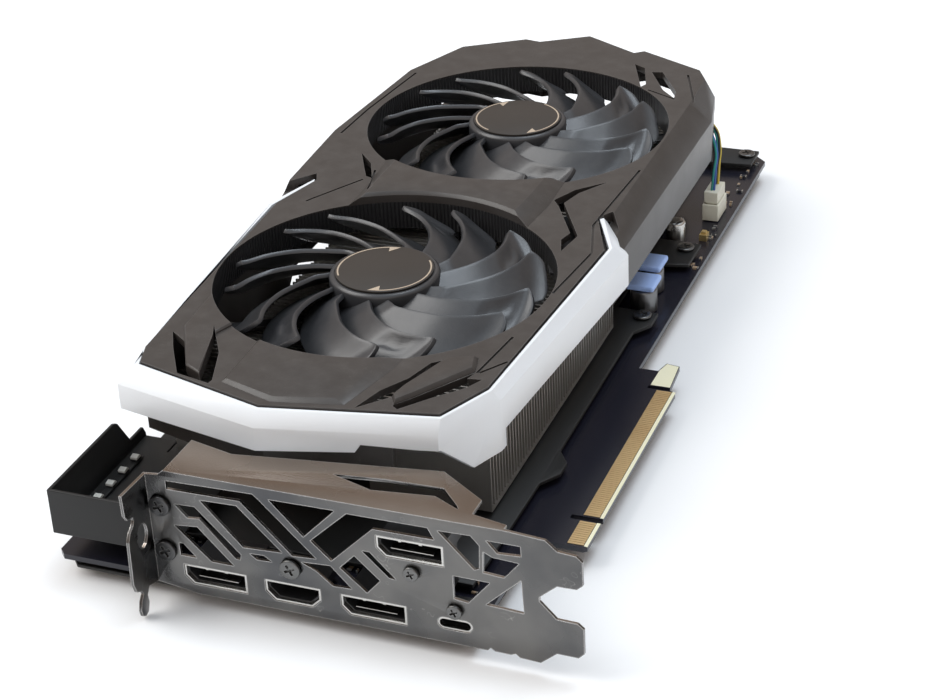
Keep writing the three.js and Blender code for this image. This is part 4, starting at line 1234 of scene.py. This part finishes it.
LEVEL = 34.9
REAR_ROUTE = [(84.6, 254.1, 13.8), (84.6, 255.4, 20.3), (84.2, 258.5, 26), (81, 262.3, 31.5),
              (76.5, 260.5, 34.5),
              (73.5, 252, LEVEL), (69, 243.8, LEVEL), (62.2, 239.3, LEVEL), (50, 232.3, LEVEL),
              (37.4, 225, LEVEL)]
FRONT_ROUTE = [(84.6, 248.9, 13.8), (84.6, 250.6, 20.3), (84, 254.4, 26.5), (80.4, 256.6, 32.4),
               (78.6, 251, LEVEL),
               (79.8, 236, LEVEL), (80.1, 200, LEVEL), (80.1, 150, LEVEL), (79.6, 112, LEVEL),
               (78.4, 97, LEVEL),
               (75.6, 86, LEVEL), (71, 80.6, LEVEL), (65, 83.2, LEVEL), (54, 89.6, LEVEL),
               (41.6, 96.8, LEVEL)]
YELLOW, TEAL = ("yellow", (0.62, 0.46, 0.05)), ("teal", (0.02, 0.25, 0.22))
BLUE, BLACK = ("blue", (0.03, 0.10, 0.38)), ("black", (0.015, 0.015, 0.016))


@dataclass
class Metalwork:
    """Bracket, tray, backplate, cooler and sockets."""

    rounded: tuple = (
        ("white_trim", PEARL, 0.55, 3), ("slot_bracket", STEEL, 0.36, 3), ("side_tray", BLACK_SHEET, 0.25, 2),
        ("tray_clip_strip", CLIP, 0.15, 2), ("backplate", BLACK_SHEET, 0.25, 2),
        ("heatsink_base", NICKEL, 0.2, 2),
        ("fan_front_mount", DARK, 0.25, 2), ("fan_rear_mount", DARK, 0.25, 2),
        ("display_socket_1", SOCKET, 0.1, 2),
        ("display_socket_2", SOCKET, 0.1, 2), ("display_socket_3", SOCKET, 0.1, 2),
        ("hdmi_socket", SOCKET, 0.1, 2),
        ("usb_socket", SOCKET, 0.1, 2))
    kept: tuple = (
        ("fin_stack_front", FIN), ("fin_stack_rear", FIN), ("heat_pipe_1", COPPER), ("heat_pipe_2", COPPER),
        ("heat_pipe_3", COPPER), ("heat_pipe_4", COPPER), ("fan_front_stator", COPPER),
        ("fan_rear_stator", COPPER),
        ("fan_front_shaft", SCREW), ("fan_rear_shaft", SCREW), ("heatsink_screw_1", SCREW),
        ("heatsink_screw_2", SCREW), ("heatsink_screw_3", SCREW), ("heatsink_screw_4", SCREW))

    def build(self, bench: Bench) -> None:
        """Rounds and dresses the metal pieces and keeps the plain ones."""
        for node, finish, width, segments in self.rounded:
            piece = bench.node_copy(node, f"{node}_piece", width, segments)
            bench.dress(piece, finish, Body.CARD, (node,))
        for node, finish in self.kept:
            bench.keep(node, finish)
        self.rims(bench)

    def rims(self, bench: Bench) -> None:
        """Builds the bright shell rims and spring contacts in the socket mouths."""
        mouths = [("display", [(x + 2.4, z), (x + 18.2, z), (x + 18.2, z + 6), (x, z + 6), (x, z + 2.4)])
                  for x, z in ((9.1, 3.0), (54.2, 2.8), (65.3, 23.2))]
        mouths.append(("hdmi", [(35.3, 2.8), (45.9, 2.8), (48.5, 5.4), (48.5, 9.0), (32.7, 9.0),
                                (32.7, 5.4)]))
        arc = [(math.cos(math.radians(a)) * 1.8, math.sin(math.radians(a)) * 1.8) for a in range(-90, 91, 18)]
        oval = [(85.6 + 3 + u, 6 + v) for u, v in arc]
        mouths.append(("usb", oval + [(2 * 85.6 - u, 12 - v) for u, v in oval]))
        for i, (kind, outline) in enumerate(mouths, start=1):
            rim = bench.slab(f"{kind}_rim_{i}", inset(outline, 0.05), 0.1, 1.5, Axis.BACK)
            bench.combine(rim, bench.slab("mouth", inset(outline, 0.6), -1, 3, Axis.BACK))
            bench.bevel(rim, 0.12)
            bench.smooth(rim)
            bench.dress(rim, NICKEL)
            if kind == "display":
                x, z = outline[3]
                springs = [bench.slab("spring", [(x + dx, z - 2.0), (x + dx + 0.9, z - 2.0),
                                                 (x + dx + 0.9, z - 1.2),
                                                 (x + dx, z - 1.2)], 1.6, 2.6,
                                                 Axis.BACK) for dx in (5.4, 11.0)]
                springs.append(bench.slab("tongue", [(x + 3.4, z - 4.2), (x + 15, z - 4.2), (x + 15, z - 3.9),
                                                     (x + 3.4, z - 3.9)], 1.4, 6.0, Axis.BACK))
                whole = bench.join(f"display_springs_{i}", springs)
                bench.bevel(whole, 0.08)
                bench.dress(whole, NICKEL)

    @staticmethod
    def screws() -> list[Fastener]:
        """Returns the screws that show, each facing out of its plate."""
        front, up = Vector((0, -1, 0)), Vector((0, 0, 1))
        spots = [(4.3, 26.6, 3.0), (4.6, 12.6, 3.0), (40.7, 14.1, 2.9), (74.6, 19.7, 2.1), (85.8, 10.4, 2.1)]
        made = [Fastener(f"bracket_screw_{i + 1}", (x, -0.65, z), radius, 1.1, front,
                         BLACK_SCREW if i < 2 else DIM_SCREW) for i, (x, z, radius) in enumerate(spots)]
        for i, (x, y) in enumerate(((83.9, 168), (83.9, 217.5), (84.6, 296))):
            made.append(Fastener(f"plate_screw_{i + 1}", (x, y, 7.2), 2.9, 1.0, up, DIM_SCREW))
        return made


# ---- floor, light and camera ------------------------------------------------------------------------
@dataclass
class Studio:
    """A pale floor, soft lights and the camera."""

    lens: float = 83.676
    shift: Point = (0.005136, -0.003312)

    def build(self) -> None:
        """Builds the floor, the lights, the world and the camera."""
        bpy.ops.object.select_all(action="DESELECT")
        bpy.ops.mesh.primitive_plane_add(size=8, location=(0, 0, -0.0006))
        floor = bpy.context.object
        floor.name = "floor"
        paint = bpy.data.materials.new("pale_floor")
        paint.use_nodes = True
        shader = paint.node_tree.nodes["Principled BSDF"]
        shader.inputs["Base Color"].default_value = (0.93, 0.93, 0.93, 1)
        shader.inputs["Roughness"].default_value = 0.9
        floor.data.materials.append(paint)
        view = bpy.context.scene.view_settings
        view.view_transform, view.look = "Standard", "None"
        self._light("key", (-1.5, -0.5, 1.7), 1.6, 34, (1.0, 0.99, 0.97))
        self._light("cool_top", (0.35, 0.35, 2.0), 1.0, 17, (0.82, 0.91, 1.0))
        self._light("front_fill", (0.5, -1.8, 0.8), 1.4, 3, (1.0, 0.98, 0.96))
        self._world()
        self._camera()

    @staticmethod
    def _light(name: str, place: Point3, size: float, power: float, colour: Colour) -> None:
        """Adds a square soft light aimed at the card."""
        data = bpy.data.lights.new(name, "AREA")
        data.size, data.energy, data.color = size, power, colour
        lamp = bpy.data.objects.new(name, data)
        lamp.matrix_world = (Matrix.Translation(place)
                             @ (-Vector(place)).to_track_quat("-Z", "Y").to_matrix().to_4x4())
        bpy.context.scene.collection.objects.link(lamp)

    @staticmethod
    def _world() -> None:
        """Makes a room that is warm and dim near the floor and pale overhead."""
        world = bpy.data.worlds.new("room")
        bpy.context.scene.world = world
        world.use_nodes = True
        tree = world.node_tree
        ramp = tree.nodes.new("ShaderNodeValToRGB")
        split = tree.nodes.new("ShaderNodeSeparateXYZ")
        tree.links.new(tree.nodes.new("ShaderNodeTexCoord").outputs["Generated"], split.inputs[0])
        tree.links.new(split.outputs["Z"], ramp.inputs[0])
        points = ramp.color_ramp.elements
        points[0].position, points[0].color = 0.0, (0.30, 0.27, 0.25, 1)
        points[1].position, points[1].color = 1.0, (0.80, 0.90, 1.0, 1)
        middle = points.new(0.5)
        middle.color = (0.55, 0.46, 0.40, 1)
        background = tree.nodes["Background"]
        tree.links.new(ramp.outputs[0], background.inputs["Color"])
        background.inputs["Strength"].default_value = 0.9

    def _camera(self) -> None:
        """Places the camera, aimed by its own three directions."""
        data = bpy.data.cameras.new("view")
        data.lens = self.lens
        data.sensor_width = 36.0
        data.sensor_fit = "HORIZONTAL"
        data.shift_x, data.shift_y = self.shift
        data.clip_start, data.clip_end = 0.01, 50
        camera = bpy.data.objects.new("view", data)
        camera.matrix_world = Matrix(CAMERA_ROWS)
        bpy.context.scene.collection.objects.link(camera)
        bpy.context.scene.camera = camera


CAMERA_ROWS = (
    (0.9322806, -0.1365533, 0.3349717, 0.216578),
    (0.3586481, 0.4696603, -0.806716, -0.551573),
    (-0.0471632, 0.8722227, 0.4868298, 0.336172),
    (0.0, 0.0, 0.0, 1.0),
)


def main() -> None:
    """Builds the whole card."""
    _FRAME.update(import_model())
    bench = Bench(CardSpace(), Effects())
    Studio().build()
    Shroud().build(bench)
    Fan(Body.FRONT_FAN, "fan_front", 0.0).build(bench)
    Fan(Body.REAR_FAN, "fan_rear", 3.0).build(bench)
    Metalwork().build(bench)
    for screw in Metalwork.screws():
        screw.build(bench)
    Board().build(bench)
    Lead("fan_rear_lead", REAR_ROUTE, (YELLOW, TEAL, BLACK)).build(bench)
    Lead("fan_front_lead", FRONT_ROUTE, (BLUE, BLACK, TEAL)).build(bench)


if __name__ == "__main__":
    main()
